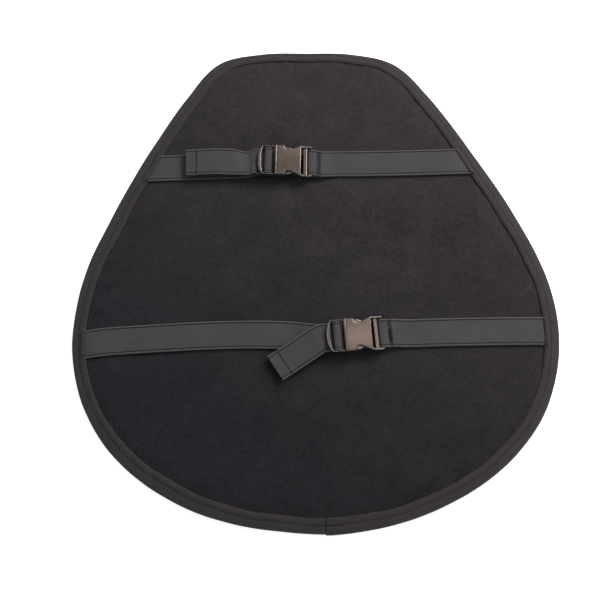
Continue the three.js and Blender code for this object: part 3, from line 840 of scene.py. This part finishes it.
def prong_field(X, Y, Z):
    """The latch arm on the +y side."""
    body = plate(rounded(PRONG), X, Y, Z, 2.15, 5.45, 0.4)
    for x in (0.9, 2.3, 3.7):  # thumb grip grooves on the outer face
        body = cut(body, np.sqrt((X - x) ** 2 + (Y - 13.45) ** 2) - 0.42, 0.15)
    return body


# ---------------------------------------------------------------- the pad covers
def strap_clear(points):
    """1 beneath a strap or buckle, 0 well away from it."""
    near = np.zeros(len(points))
    for y in (UP_Y, LOW_Y):
        near = np.maximum(near, 1 - (np.abs(points[:, 1] - y) - 15.5) / 22.0)
    # under the turned tail of the lower strap
    start, end = np.array([[-36.0, -81.0], [2.0, -60.0]])
    along = end - start
    t = np.clip(((points - start) @ along) / (along @ along), 0, 1)
    gap = np.linalg.norm(points - (start + t[:, None] * along), axis=1)
    return ease(np.maximum(near, 1 - (gap - 16.0) / 18.0))


def pad_form():
    """A closed body just under both covers."""
    count = 240
    deg = deg_at(np.linspace(0, PERIMETER, count, endpoint=False))
    insets = [2.4, 4, 6, 9, 13, 18, 24, 31, 40]
    levels = [(d, float(z_back(d)) - 0.5) for d in insets[::-1]]
    levels += [(d, float(z_front(d)) + 0.35) for d in insets]
    verts = [(0, OUTLINE_Y, BACK_Z - 0.5)]
    for inset, z in levels:
        verts += [(x, y, z) for x, y in outline(deg) + inward(deg) * inset]
    rings = [1 + count * i for i in range(len(levels))]
    last = len(verts)
    verts.append((0, OUTLINE_Y, 0.35))
    faces = []
    for i in range(count):
        j = (i + 1) % count
        faces.append((0, rings[0] + i, rings[0] + j))
        for near, far in zip(rings, rings[1:]):
            faces.append((near + i, far + i, far + j, near + j))
        faces.append((last, rings[-1] + j, rings[-1] + i))
    return outward(new_mesh("pad_form", verts, faces, None))


def apply_all(piece):
    graph = bpy.context.evaluated_depsgraph_get()
    mesh = bpy.data.meshes.new_from_object(piece.evaluated_get(graph))
    piece.modifiers.clear()
    piece.data = mesh


def coords(piece):
    """Vertex places in metres."""
    flat = np.zeros(len(piece.data.vertices) * 3)
    piece.data.vertices.foreach_get("co", flat)
    return flat.reshape(-1, 3)


def set_coords(piece, places):
    piece.data.vertices.foreach_set("co", places.astype(np.float32).ravel())
    piece.data.update()


def puff(form, inset):
    """Inflates the form as cloth, held near the rim."""
    group = form.vertex_groups.new(name="pin")
    for i in np.nonzero(inset < 9.0)[0]:
        group.add([int(i)], 1.0, "REPLACE")
    cloth = form.modifiers.new("cloth", "CLOTH")
    settings = cloth.settings
    settings.quality = 4
    settings.mass = 0.25
    settings.use_pressure = True
    settings.uniform_pressure_force = 4.0
    settings.vertex_group_mass = "pin"
    settings.pin_stiffness = 1.0
    settings.effector_weights.gravity = 0.0
    settings.shrink_min = -0.004
    settings.tension_stiffness = settings.compression_stiffness = 12
    settings.bending_stiffness = 1.5
    cloth.collision_settings.use_collision = False
    cloth.collision_settings.use_self_collision = False
    frames = 16
    cloth.point_cache.frame_start, cloth.point_cache.frame_end = 1, frames
    scene.frame_start, scene.frame_end = 1, frames
    for i in range(1, frames + 1):
        scene.frame_set(i)
    apply_all(form)
    scene.frame_set(1)


def pad_covers():
    form = pad_form()
    remesh = form.modifiers.new("remesh", "REMESH")
    remesh.mode = "VOXEL"
    remesh.voxel_size = 0.0045
    apply_all(form)
    rest = coords(form)
    puff(form, rim_distance(rest[:, :2] / MM))
    move = coords(form) - rest
    size = np.linalg.norm(move, axis=1, keepdims=True)
    top = rest[:, 2] > MID_Z * MM
    limit = np.where(top, 0.0011, 0.0022)[:, None]  # metres
    move *= np.minimum(1, limit / np.maximum(size, 1e-9))
    move[top, 2] *= 1 - strap_clear(rest[top, :2] / MM)
    set_coords(form, rest + move)
    subdivide = form.modifiers.new("subdivide", "SUBSURF")
    subdivide.levels = subdivide.render_levels = 1
    apply_all(form)
    # soft ripples of the knit and puckers beside the binding
    q = coords(form) / MM
    flat = q[:, :2]
    inset = rim_distance(flat)
    under = strap_clear(flat)
    top = q[:, 2] > MID_Z
    ripple = soft(flat, 3, 70) * 0.6 + soft(flat, 4, 26) * 0.4
    height = (0.22 * np.clip((inset - 12) / 20, 0, 1) * (ripple - 0.4)
              + 0.16 * bell(inset, 15, 5.0) * soft(flat, 8, 13))
    q[:, 2] += np.where(top, height * (1 - 0.8 * under), 0)
    q[:, 2] = np.where(top, np.minimum(q[:, 2], BACK_Z + 0.9 * (1 - under)),
                       np.maximum(q[:, 2], 0.12))
    set_coords(form, q * MM)
    verts = coords(form)
    polygons = form.data.polygons
    upper = np.array([f.center[2] for f in polygons]) > MID_Z * MM
    for name, pick, material, slot, replaced in (
            ("back_cover_knit", upper, KNIT, "back_fabric", "back_cover"),
            ("strike_cover_grained", ~upper, LEATHER, "strike_face", "strike_cover")):
        faces = [tuple(polygons[i].vertices) for i in np.nonzero(pick)[0]]
        used = sorted({v for f in faces for v in f})
        index = {v: i for i, v in enumerate(used)}
        cover = new_mesh(name, verts[used] / MM, [tuple(index[v] for v in f) for f in faces],
                         material)
        shell = cover.modifiers.new("shell", "SOLIDIFY")
        shell.thickness = 0.0007
        shell.offset = -1
        apply_all(cover)
        smooth_shade(cover.data)
        assign(cover, "panel", slot, replaced)
    bpy.data.objects.remove(form)


pad_covers()
for node_name, foam in (("impact_foam_soft", SOFT_FOAM), ("backing_foam_firm", FIRM_FOAM)):
    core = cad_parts[node_name]
    core.data.materials.clear()
    core.data.materials.append(foam)


# ---------------------------------------------------------------- edge binding
LAP_DEG = -89.2  # where the tape's free end is laid over its start
LAP_LENGTH = 30.0
LAP_SEAT = TAPE_GAP + 1.1  # height of the lap's underside over the cover


def strap_relief(deg, inset, width):
    """The sewn strap ends lift the tape over them."""
    y = outline(deg)[:, 1] + inward(deg)[:, 1] * inset
    near = np.max([(12.6 - np.abs(y - mid)) / 1.6 for mid in (UP_Y, LOW_Y - 1.0)], axis=0)
    return 1.62 * ease(near) * ease((inset - (width - 3.9)) / 0.8)


def corner_fold(deg):
    """The tape is pinched into a sharper inside corner where the outline turns."""
    arc = arc_at(deg)
    extra = np.zeros_like(arc)
    for corner, height, spread in ((111.0, 2.6, 6.5), (70.0, 1.2, 9.0)):
        gap = np.abs(arc - arc_at(corner))
        gap = np.minimum(gap, PERIMETER - gap)
        extra += height * np.exp(-(gap / spread) ** 2 * 0.5)
    return extra


def swept_tape(name, arc, section, closed):
    """Tape along the outline; section lists its columns as (inset, z)."""
    deg = deg_at(arc)
    inset, z = (np.stack([column[i] + 0 * arc for column in section], 1) for i in (0, 1))
    flat = outline(deg)[:, None, :] + inward(deg)[:, None, :] * inset[..., None]
    verts = np.concatenate([flat, z[..., None]], 2)
    count = len(section)
    # across the tape: true distance on the closed band, even steps on the short lap
    across = run(np.stack([inset[0], z[0]], 1)) if closed else np.arange(count) * 1.2
    uv = np.stack([np.repeat(arc, count), np.tile(across, len(arc))], 1)
    faces = tube_faces(len(arc), count, closed)
    return outward(new_mesh(name, verts.reshape(-1, 3), faces, TAPE, uv))


def seam(name, arc, inset, z, side, length, radius, sink):
    """Stitches along the outline; side is 1 on the back and -1 on the strike face."""
    normal = inward(deg_at(arc))
    points = np.column_stack([outline(deg_at(arc)) + normal * (inset + 0 * arc)[:, None],
                              z + 0 * arc])
    along = np.column_stack([normal[:, 1], -normal[:, 0], 0 * arc])
    return stitch_row(name, points, along, [0, 0, side], length, radius, sink)


def outer_edge():
    """Middle height and half height of the tape's rounded outer edge."""
    top = z_back(TAPE_EDGE) + TAPE_GAP + TAPE_T
    bottom = z_front(TAPE_EDGE) - TAPE_GAP - TAPE_T
    return (top + bottom) / 2, (top - bottom) / 2


def binding():
    """The closed tape and its two seams; returns arc lengths and the width there."""
    arc = np.linspace(0, PERIMETER, int(PERIMETER / 0.95), endpoint=False)
    deg = deg_at(arc)
    width = around(BINDING_W, deg) + corner_fold(deg)
    width = width + 0.35 * soft(arc[:, None], 21, 55) + 0.12 * soft(arc[:, None], 22, 11)
    phase = np.cos(2 * math.pi * arc / STITCH_PITCH)
    ripple = 0.10 * soft_line(arc, 31, 9)

    def top(inset, thick):
        dip = -0.29 * bell(inset, width - STITCH_IN, 0.62) * (0.76 + 0.24 * phase)
        swell = (0.14 * bell(inset, width - 2.9, 1.9) * (0.85 - 0.15 * phase)
                 - 0.25 * bell(inset, width, 0.8))
        return (z_back(inset) + TAPE_GAP + thick + dip + swell
                + ripple * bell(inset, width - 1.0, 1.6) + strap_relief(deg, inset, width))

    # back leg, outwards from the tape's inner edge
    section = []
    from_edge = [0.0, 0.12, 0.4, 0.9, 1.7, 2.6, 3.3, 3.9, 4.6, 5.2, 5.55, STITCH_IN, 6.25,
                 6.6, 7.3, 8.1]
    for f in from_edge:
        edge = math.sqrt(1 - (1 - min(f / 0.5, 1)) ** 2)
        taper = 0.46 + 0.54 * min(f / 3.0, 1.0) ** 0.8
        section.append((width - f, top(width - f, TAPE_T * taper * (0.3 + 0.7 * edge))))
    for k in (0.8, 0.6, 0.42, 0.27):
        inset = np.maximum((width - from_edge[-1]) * k, TAPE_EDGE)
        section.append((inset, top(inset, TAPE_T)))
    # rounded outer edge
    middle, half = outer_edge()
    squeeze = 0.10 * soft_line(arc, 41, 30)
    for angle in (72, 50, 28, 8, -12, -32, -54, -74):
        c, s = math.cos(math.radians(angle)), math.sin(math.radians(angle))
        section.append((EDGE_R - EDGE_R * c ** 0.75 + squeeze * c,
                        middle + half * math.copysign(abs(s) ** 0.85, s)))
    # front leg, thinned at its last column
    wander = 0.3 * soft(arc[:, None], 51, 50)
    last = 9.0
    for base in (1.6, 2.8, 4.2, 5.4, 6.0, 6.6, 7.6, 8.6, last):
        inset = base + 0 * arc + (wander if base > 7 else 0)
        dip = 0.3 * bell(base, FRONT_SEAM, 0.6) * (0.72 + 0.28 * phase)
        thick = TAPE_T * (0.5 if base == last else 1)
        section.append((inset, np.maximum(z_front(inset) - TAPE_GAP - thick + dip, 0.12)))
    # inside of the fold, hidden against the covers
    section += [(inset, z_front(inset) - 0.05) for inset in (last, 5.0, 1.6)]
    section += [(1.4, MID_Z - 0.4), (1.6, z_back(1.6) + 0.05)]
    for inset in (width * 0.5, width * 0.85, width - 0.02):
        # the closing column takes its height at the full width
        at = width if inset is not None and len(section) == 44 else inset
        section.append((inset, z_back(at) + 0.05 + strap_relief(deg, at, width) * 0.9))
    tape = swept_tape("edge_binding_woven", arc, section, True)

    stitches = (np.arange(int(PERIMETER / STITCH_PITCH)) + 0.5) * STITCH_PITCH
    wide = np.interp(stitches, arc, width)
    inset = wide - STITCH_IN
    z = (z_back(inset) + TAPE_GAP + TAPE_T - 0.36
         + strap_relief(deg_at(stitches), inset, wide))
    back = seam("binding_stitches_back", stitches, inset, z, side=1,
                length=2.5, radius=0.30, sink=0.16)
    z = np.maximum(z_front(FRONT_SEAM) - TAPE_GAP - TAPE_T + 0.26, 0.3)
    front = seam("binding_stitches_front", stitches, FRONT_SEAM, z, side=-1,
                 length=2.5, radius=0.28, sink=0.16)
    assign(tape, "panel", "binding_tape", "edge_binding_tape")
    assign(back, "panel", "thread", "binding_thread_back")
    assign(front, "panel", "thread", "binding_thread_front")
    return arc, width


def lap(tape_arc, tape_width):
    """The tape's free end, square cut and thinning out, with its close tacking stitches."""
    def width_at(arc):
        return np.interp(np.mod(arc, PERIMETER), tape_arc, tape_width)

    count = 60
    k = np.linspace(0, 1, count)
    start = arc_at(LAP_DEG)
    arc = start + k * LAP_LENGTH
    width = width_at(arc) + 0.25
    thick = (0.85 * np.clip((1 - k) / 0.8, 0, 1) ** 1.3
             * np.clip(k * count / 1.4 + 0.45, 0, 1) + 0.03)
    section = []
    stitch_line = STITCH_IN + 0.2
    for f in (0.0, 0.3, 1.2, 2.8, 4.4, 5.4, stitch_line, 6.8, 8.2):
        edge = 0.35 if f == 0 else 1.0
        dip = -0.45 * bell(f, stitch_line, 0.6)
        section.append((width - f, z_back(width - f) + LAP_SEAT + thick * edge + dip))
    for share in (0.7, 0.4):
        inset = (width - 8.0) * share + 0.6
        section.append((inset, z_back(inset) + LAP_SEAT + thick))
    middle, half = outer_edge()
    for angle in (60, 30, 0, -30, -60):
        c, s = math.cos(math.radians(angle)), math.sin(math.radians(angle))
        section.append((EDGE_R - EDGE_R * c ** 0.75 - thick * c, middle + (half + thick) * s))
    for inset in (2.6, 5.0, 7.5):
        section.append((inset, np.maximum(z_front(inset) - 1.25 - thick * 0.8, 0.1)))
    # the side against the tape beneath
    section += [(7.5, z_front(7.5) - 0.6), (2.6, z_front(2.6) - 0.8), (1.6, middle),
                (2.0, z_back(2.0) + 0.8), (width * 0.5, z_back(width * 0.5) + 0.8),
                (width - 0.1, z_back(width) + 0.8)]
    piece = swept_tape("binding_lap_fold", arc, section, False)
    stitches = start + np.arange(1.2, 15.5, 1.7)
    inset = width_at(stitches) - STITCH_IN
    z = z_back(inset) + LAP_SEAT + np.interp(stitches, arc, thick) - 0.42
    tack = seam("binding_lap_tack", stitches, inset, z, side=1,
                length=1.9, radius=0.34, sink=0.12)
    assign(piece, "panel", "binding_tape", "binding_lap_end")
    assign(tack, "panel", "thread")


lap(*binding())

# ---------------------------------------------------------------- straps
BLEND_Z = 0.0135  # metres, height of the points where webbing starts and stops bending
HEM_IN = 9.4  # hem stitches from the end of the tail
# (x, z) in the buckle's frame: round the socket's end bar and back towards the pad
WRAP = [(34.5, 0.15), (30, 0.15), (26, 0.15), (22.4, 0.15), (21.0, 0.45), (20.45, 1.2),
        (20.45, 2.5), (21.0, 3.25), (22.4, 3.6), (25.2, 3.5), (29.5, 2.55), (34.2, 1.9)]
WRAP_TOP = 9  # index of the station where the top layer leaves the bar
# (x, z) in the buckle's frame: up through the plug, over its bar and out
ADJUSTER = [(-14.3, -1.0), (-13.7, -0.95), (-13.05, -0.5), (-12.85, 0.4), (-12.85, 3.4),
            (-13.15, 4.2), (-13.9, 4.55), (-16.9, 4.55), (-17.7, 4.2), (-18.05, 3.3),
            (-18.05, 2.1), (-18.5, 1.2), (-19.6, 0.78), (-22.4, 0.7)]


def line_y(line, x):
    """y at x on a strap's centre line of (x, y) points."""
    xs, ys = zip(*line)
    return float(np.interp(x, xs, ys))


def rim_x(y, side):
    """x at height y of a line 3 mm outside the binding's inner edge; side is 1 at +x."""
    deg = np.arange(-90, 90.01, 0.1)
    deg = deg if side > 0 else 180 - deg
    points = outline(deg) + inward(deg) * (around(BINDING_W, deg) - 3.0)[:, None]
    return points[np.argmin(np.abs(points[:, 1] - y)), 0]


def sewn_end(line, side, reach):
    """End x, end y and the stations from the end under the binding inwards to reach."""
    y = line[-1 if side > 0 else 0][1]
    high, low = rim_x(y + WEB_HALF, side), rim_x(y - WEB_HALF, side)
    end = (high + low) / 2
    slant = np.array([(high - low) / 2, 0, 0])
    stations = []
    # distance in from the end, height, share of the slant
    for along, z, share in ((0, z_back(10) + 0.16 + WEB_T / 2, 1),
                            (4, z_back(13) + 0.26 + WEB_T / 2, 0.85),
                            (12, WEB_FLAT - 0.05, 0.5), (reach, WEB_FLAT, 0)):
        x = end - side * along
        stations.append((np.array([x, line_y(line, x), z]), FLAT_HALF + slant * share))
    return end, y, stations


def blend_point(x, y):
    return x * MM, y * MM, BLEND_Z


def leg_z(x, leg):
    """z at x on the straight through two stations of the wrap."""
    (x0, z0), (x1, z1) = WRAP[leg:leg + 2]
    return z0 + (z1 - z0) * (x - x0) / (x1 - x0)


class Strap:
    """One buckle with its webbing."""

    def __init__(self, tag):
        self.tag = tag
        self.turn, self.origin = PLACE[tag]
        self.half = self.turn @ FLAT_HALF

    def at(self, x, z, y=0.0):
        """A place given in the buckle's frame."""
        return self.turn @ np.array([x, y, z], float) + self.origin

    def stations(self, points):
        return [(self.at(x, z), self.half) for x, z in points]

    def part(self, name, field, low, high, step, rides, replaced):
        piece = moulded(f"{self.tag}_{name}", field, low, high, step, PLACE[self.tag])
        assign(piece, f"{self.tag}_{rides}", "buckle_plastic", f"{self.tag}_{replaced}")

    def buckle(self):
        self.part("socket_moulding", socket_field, (-10, -14.6, -0.2),
                  (BUCKLE_HALF + 0.2, 14.6, 8.4), 0.27, "right_strap", "buckle_socket")
        self.part("plug_moulding", plug_field, (-BUCKLE_HALF - 1.1, -13.8, 0.4),
                  (8.8, 13.8, 5.8), 0.27, "plug", "buckle_plug")
        for name, field, y_low, y_high in (
                ("top", prong_field, 6.2, 13.4),
                ("bottom", lambda X, Y, Z: prong_field(X, -Y, Z), -13.4, -6.2)):
            self.part(f"latch_arm_{name}", field, (-6.6, y_low, 2.0), (10.4, y_high, 5.6),
                      0.25, f"prong_{name}", f"latch_prong_{name}")

    def right(self, line, seed, tack):
        """Webbing folded round the end bar, then out to and under the binding."""
        tag, at, turn = self.tag, self.at, self.turn
        end, end_y, sewn = sewn_end(line, side=1, reach=26)
        stations = self.stations(WRAP)
        last_y = stations[-1][0][1]
        x = at(39.5, 2)[0]
        y = last_y + (line_y(line, x) - last_y) * 0.6
        stations.append((np.array([x, y, WEB_FLAT + 0.75]), FLAT_HALF))
        landing = at(47, 0)[0]
        for f, lift in ((0, 0.1), (0.12, 0), (0.36, 0), (0.68, 0)):
            x = landing * (1 - f) + (end - 26) * f
            stations.append((np.array([x, line_y(line, x), WEB_FLAT + lift]), FLAT_HALF))
        stations += sewn[::-1]
        top = run(centres(stations))[WRAP_TOP]
        piece = webbing(tag + "_strap_right", stations, seed, rows=(top + 3.5, top + 5.25))
        blend_point(end - 14, end_y)
        blend_point(at(31, 0)[0] + 6, end_y)
        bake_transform(piece)
        label(piece, "webbing", tag + "_webbing_right")

        # two rows across, sewn through both layers
        points = [at(x, leg_z(x, leg) + WEB_T / 2 - 0.34, y)
                  for x, leg in ((28.6, WRAP_TOP), (30.3, WRAP_TOP + 1))
                  for y in np.arange(-10.6, 10.7, 2.35)]
        up = turn @ np.array([0.2, 0, 0.98])
        row = stitch_row(tag + "_fold_stitches", seat(piece, points, up, 0.12),
                         turn @ np.array([0, 1, 0]), up, length=2.05, radius=0.36, sink=0.1)
        assign(row, tag + "_right_strap", "thread", tag + "_fold_stitch")
        if tack is not None:
            self.bar_tack(piece, *tack)

    def bar_tack(self, piece, x_start, y_start, y_end):
        """A dense zigzag across part of the fold."""
        points, along = [], []
        for i, y in enumerate(np.arange(y_start, y_end, 0.58)):
            x = x_start - (y - y_start) * 0.09
            points.append(self.at(x, leg_z(x, WRAP_TOP + 1) + WEB_T / 2 - 0.2, y))
            along.append(self.turn @ np.array([0.97, 0.24 * (-1) ** i, -0.13]))
        up = self.turn @ np.array([0.13, 0, 0.99])
        row = stitch_row(self.tag + "_bar_tack", seat(piece, points, up, 0.0), along, up,
                         length=3.3, radius=0.46, sink=0.06)
        assign(row, self.tag + "_right_strap", "thread")

    def left(self, line, path, split, seed):
        """Webbing from under the binding to the plug's bars, in two lengths meeting at x = split."""
        tag = self.tag
        end, end_y, stations = sewn_end(line, side=-1, reach=20)
        stations += [(np.array([x, y, WEB_FLAT + lift]), FLAT_HALF) for x, y, lift in path]
        stations += self.stations([(-24, -1.2), (-14.6, -1.05)])
        points = centres(stations)
        length = run(points)
        grid = np.linspace(0, length[-1], int(round(length[-1] / 0.9)) + 1)
        meet = grid[np.argmin(np.abs(grid - float(np.interp(split, points[:, 0], length))))]
        slack = 1e-6  # both lengths keep the shared ring
        outer = webbing(tag + "_strap_left_run", stations, seed, keep=(-1, meet + slack))
        feed = webbing(tag + "_strap_left_feed", stations, seed,
                       keep=(meet - slack, length[-1] + 1))
        blend_point(end + 14, end_y)
        blend_point(split - 4, end_y)
        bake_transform(outer)
        label(outer, "webbing", tag + "_webbing_left")
        blend_point(split + 3, end_y)
        blend_point(self.at(-22, 0)[0], end_y)
        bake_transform(feed)
        label(feed, "webbing")

    def tail(self, path, seed):
        """Adjuster loop and tail in one length, with the end turned under and sewn."""
        tag = self.tag
        stations = self.stations(ADJUSTER) + path(self.at, self.half)
        row = run(centres(stations))[-1] - HEM_IN
        piece = webbing(tag + "_strap_tail", stations, seed, step=0.6, rows=(row,))
        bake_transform(piece)
        label(piece, "webbing", tag + "_adjuster_loop", tag + "_webbing_tail")
        (before, _), (end, half) = stations[-2:]
        along = unit(end - before)
        lateral = half / WEB_HALF
        normal = np.cross(along, lateral)
        if normal[2] < 0:
            normal = -normal
        hem = [(end - along * back + normal * drop, half * 0.985)
               for back, drop in ((10.6, -1.62), (5.0, -1.62), (0.6, -1.55), (0.0, -1.3))]
        turned = webbing(tag + "_tail_hem", hem, seed + 3, thick=WEB_T * 0.95, wave=0)
        assign(turned, tag + "_tail", "webbing")
        points = [end - along * HEM_IN + lateral * y + normal * (WEB_T / 2 - 0.34)
                  for y in np.arange(-10.8, 10.9, 2.4)]
        stitches = stitch_row(tag + "_hem_stitches", seat(piece, points, normal, 0.12),
                              lateral, normal, length=2.1, radius=0.38, sink=0.1)
        assign(stitches, tag + "_tail", "thread", tag + "_tail_hem_stitch")


def upper_tail(at, half):
    """Straight out over the strap, tilted a little about its length."""
    stations = [(at(-25.2, 0.72), half + np.array([0, 0, -0.6])),
                (at(-28.0, 0.8), half + np.array([0, 0, -1.4]))]
    # x, y, z, tilt in degrees
    for x, y, z, tilt in ((-54, 103.1, 18.5, -9), (-60, 103.4, 18.3, -8), (-67, 104.1, 19.2, 0),
                          (-84, 104.7, 20.3, 2), (-101.6, 104.5, 20.0, 0),
                          (-110.4, 104.5, 19.3, 0)):
        a = math.radians(tilt)
        stations.append((np.array([x, y, z], float),
                         np.array([0, WEB_HALF * math.cos(a), WEB_HALF * math.sin(a)])))
    return stations


def lower_tail(at, half):
    """Turns away from the strap towards -y and lies across the pad."""
    place = at(-25.2, 0.72)
    z0 = place[2]
    stations = [(place, half)]
    # heading from -x in degrees, step, z, turn of the width in degrees
    for heading, step, z, turned in ((9, 2.4, z0 + 0.1, 10), (19, 2.6, z0 + 0.1, 21),
                                     (28, 2.8, z0 - 0.1, 29), (32, 5, 18.4, 32),
                                     (32, 12.4, 17.2, 32), (32, 12.4, 16.5, 32),
                                     (32, 11.6, 17.3, 32)):
        a, b = math.radians(heading), math.radians(turned)
        place = np.array([place[0] - math.cos(a) * step, place[1] - math.sin(a) * step, z])
        stations.append((place, np.array([-math.sin(b) * WEB_HALF, math.cos(b) * WEB_HALF, 0])))
    return stations


# lines are (x, y) along the centre; left paths are (x, y, lift); tack is (x, y start, y end)
STRAPS = {
    "upper": dict(
        right_line=[(10, 102.6), (40, 102.1), (75, 101.7), (110, 101.8), (140, 102.1)],
        left_line=[(-145, 102.0), (-125, 102.3)],
        left_path=[(-112, 102.4, 0), (-95, 102.7, 0), (-78, 102.9, 0), (-64, 103.0, 0.1),
                   (-54, 103.4, 1.3)],
        tail=upper_tail, split=-90, seeds=(61, 62, 63), tack=None),
    "lower": dict(
        right_line=[(70, -54.0), (108, -53.8), (160, -54.2), (195, -54.9)],
        left_line=[(-198, -57.0), (-190, -55.9), (-179, -54.7), (-160, -53.7)],
        left_path=[(-160, -53.7, 0), (-137, -52.9, 0), (-96, -51.6, 0), (-60, -51.5, 0),
                   (-40, -52.1, 0), (-22, -53.2, 0), (-6, -55.6, 1.5)],
        tail=lower_tail, split=-50, seeds=(71, 72, 73), tack=(30.0, -6.4, 3.4)),
}
for strap_tag, layout in STRAPS.items():
    strap = Strap(strap_tag)
    right_seed, left_seed, tail_seed = layout["seeds"]
    strap.buckle()
    strap.right(layout["right_line"], right_seed, layout["tack"])
    strap.left(layout["left_line"], layout["left_path"], layout["split"], left_seed)
    strap.tail(layout["tail"], tail_seed)


# ---------------------------------------------------------------- floor, light, camera (metres)
def floor():
    count = 40
    line = np.linspace(-1.6, 1.6, count)
    verts = [(x, y, 0.0) for x in line for y in line]
    faces = [(i * count + j, (i + 1) * count + j, (i + 1) * count + j + 1, i * count + j + 1)
             for i in range(count - 1) for j in range(count - 1)]
    mesh = bpy.data.meshes.new("studio_floor")
    mesh.from_pydata(verts, [], faces)
    piece = bpy.data.objects.new("studio_floor", mesh)
    scene.collection.objects.link(piece)
    mat = Mat("studio_white")
    tone = mat.noise(scale=3, detail=2)
    mesh.materials.append(mat.finish(
        Base_Color=mat.mix(tone, (0.86, 0.86, 0.86), (0.88, 0.88, 0.88)), Roughness=0.8,
        Specular_IOR_Level=0.1, Emission_Color=(1.0, 1.0, 1.0), Emission_Strength=0.74))


def area(name, place, aim, size, power, tint):
    """A rectangular light of size (x, y) turned to its aim."""
    light = bpy.data.lights.new(name, "AREA")
    light.color = tint
    light.energy = power
    light.shape = "RECTANGLE"
    light.size, light.size_y = size
    lamp = bpy.data.objects.new(name, light)
    scene.collection.objects.link(lamp)
    lamp.location = place
    lamp.rotation_mode = "QUATERNION"
    lamp.rotation_quaternion = (Vector(aim) - Vector(place)).to_track_quat("-Z", "Y")


def surround():
    """The camera sees plain white; only a dim surround lights the scene."""
    world = bpy.data.worlds.new("studio")
    scene.world = world
    world.use_nodes = True
    nodes, link = world.node_tree.nodes, world.node_tree.links.new
    dim = nodes["Background"]
    seen = nodes.new("ShaderNodeBackground")
    for node, colour, strength in ((dim, (0.96, 0.97, 1, 1), 0.142), (seen, (1, 1, 1, 1), 1.0)):
        node.inputs[0].default_value = colour
        node.inputs[1].default_value = strength
    rays = nodes.new("ShaderNodeLightPath")
    pick = nodes.new("ShaderNodeMixShader")
    link(rays.outputs["Is Camera Ray"], pick.inputs[0])
    link(dim.outputs[0], pick.inputs[1])
    link(seen.outputs[0], pick.inputs[2])
    link(pick.outputs[0], nodes["World Output"].inputs[0])


def camera():
    """Tilted back from straight above and rolled a little."""
    tilt, roll = math.radians(15.3), math.radians(-1.5)
    distance = 742.04112  # mm
    shift = Vector((12.787, 20.887, -8.0))  # mm, taken off the camera's place

    def rolled(x, y, z):
        return Vector((x * math.cos(roll) - y * math.sin(roll),
                       x * math.sin(roll) + y * math.cos(roll), z))

    lens = bpy.data.cameras.new("view_camera")
    lens.sensor_width = 36
    lens.lens = 51.77963
    lens.clip_start, lens.clip_end = 0.01, 20
    view = bpy.data.objects.new("view_camera", lens)
    scene.collection.objects.link(view)
    axes = (rolled(1, 0, 0), rolled(0, math.cos(tilt), math.sin(tilt)),
            -rolled(0, math.sin(tilt), -math.cos(tilt)))
    place = rolled(0, -distance * math.sin(tilt), distance * math.cos(tilt)) - shift
    matrix = Matrix(axes).transposed().to_4x4()
    matrix.translation = place * MM
    view.matrix_world = matrix
    scene.camera = view


floor()
area("key_softbox", place=(0.82, 0.90, 1.0), aim=(0.0, 0.0, 0), size=(0.9, 0.7), power=33.3,
     tint=(1.0, 0.937, 0.915))
area("low_fill", place=(0.85, -0.38, 0.62), aim=(0.0, 0.0, 0), size=(0.6, 0.5), power=3.9,
     tint=(1.0, 0.97, 0.96))
area("overhead_softbox", place=(0.43, 0.25, 1.5), aim=(0.0, -0.02, 0), size=(0.42, 0.42),
     power=2.3, tint=(1.0, 0.91, 0.84))
area("left_kicker", place=(-0.76, 0.30, 0.76), aim=(-0.02, 0.02, 0), size=(0.6, 0.2),
     power=2.5, tint=(0.90, 0.95, 1.0))
area("window_fill", place=(-0.86, -0.34, 0.55), aim=(-0.1, -0.06, 0), size=(0.5, 0.4),
     power=1.25, tint=(0.50, 0.76, 1.0))
surround()
scene.view_settings.view_transform = "Standard"
scene.view_settings.look = "None"
scene.view_settings.exposure = 0.0
scene.view_settings.gamma = 1.0
camera()
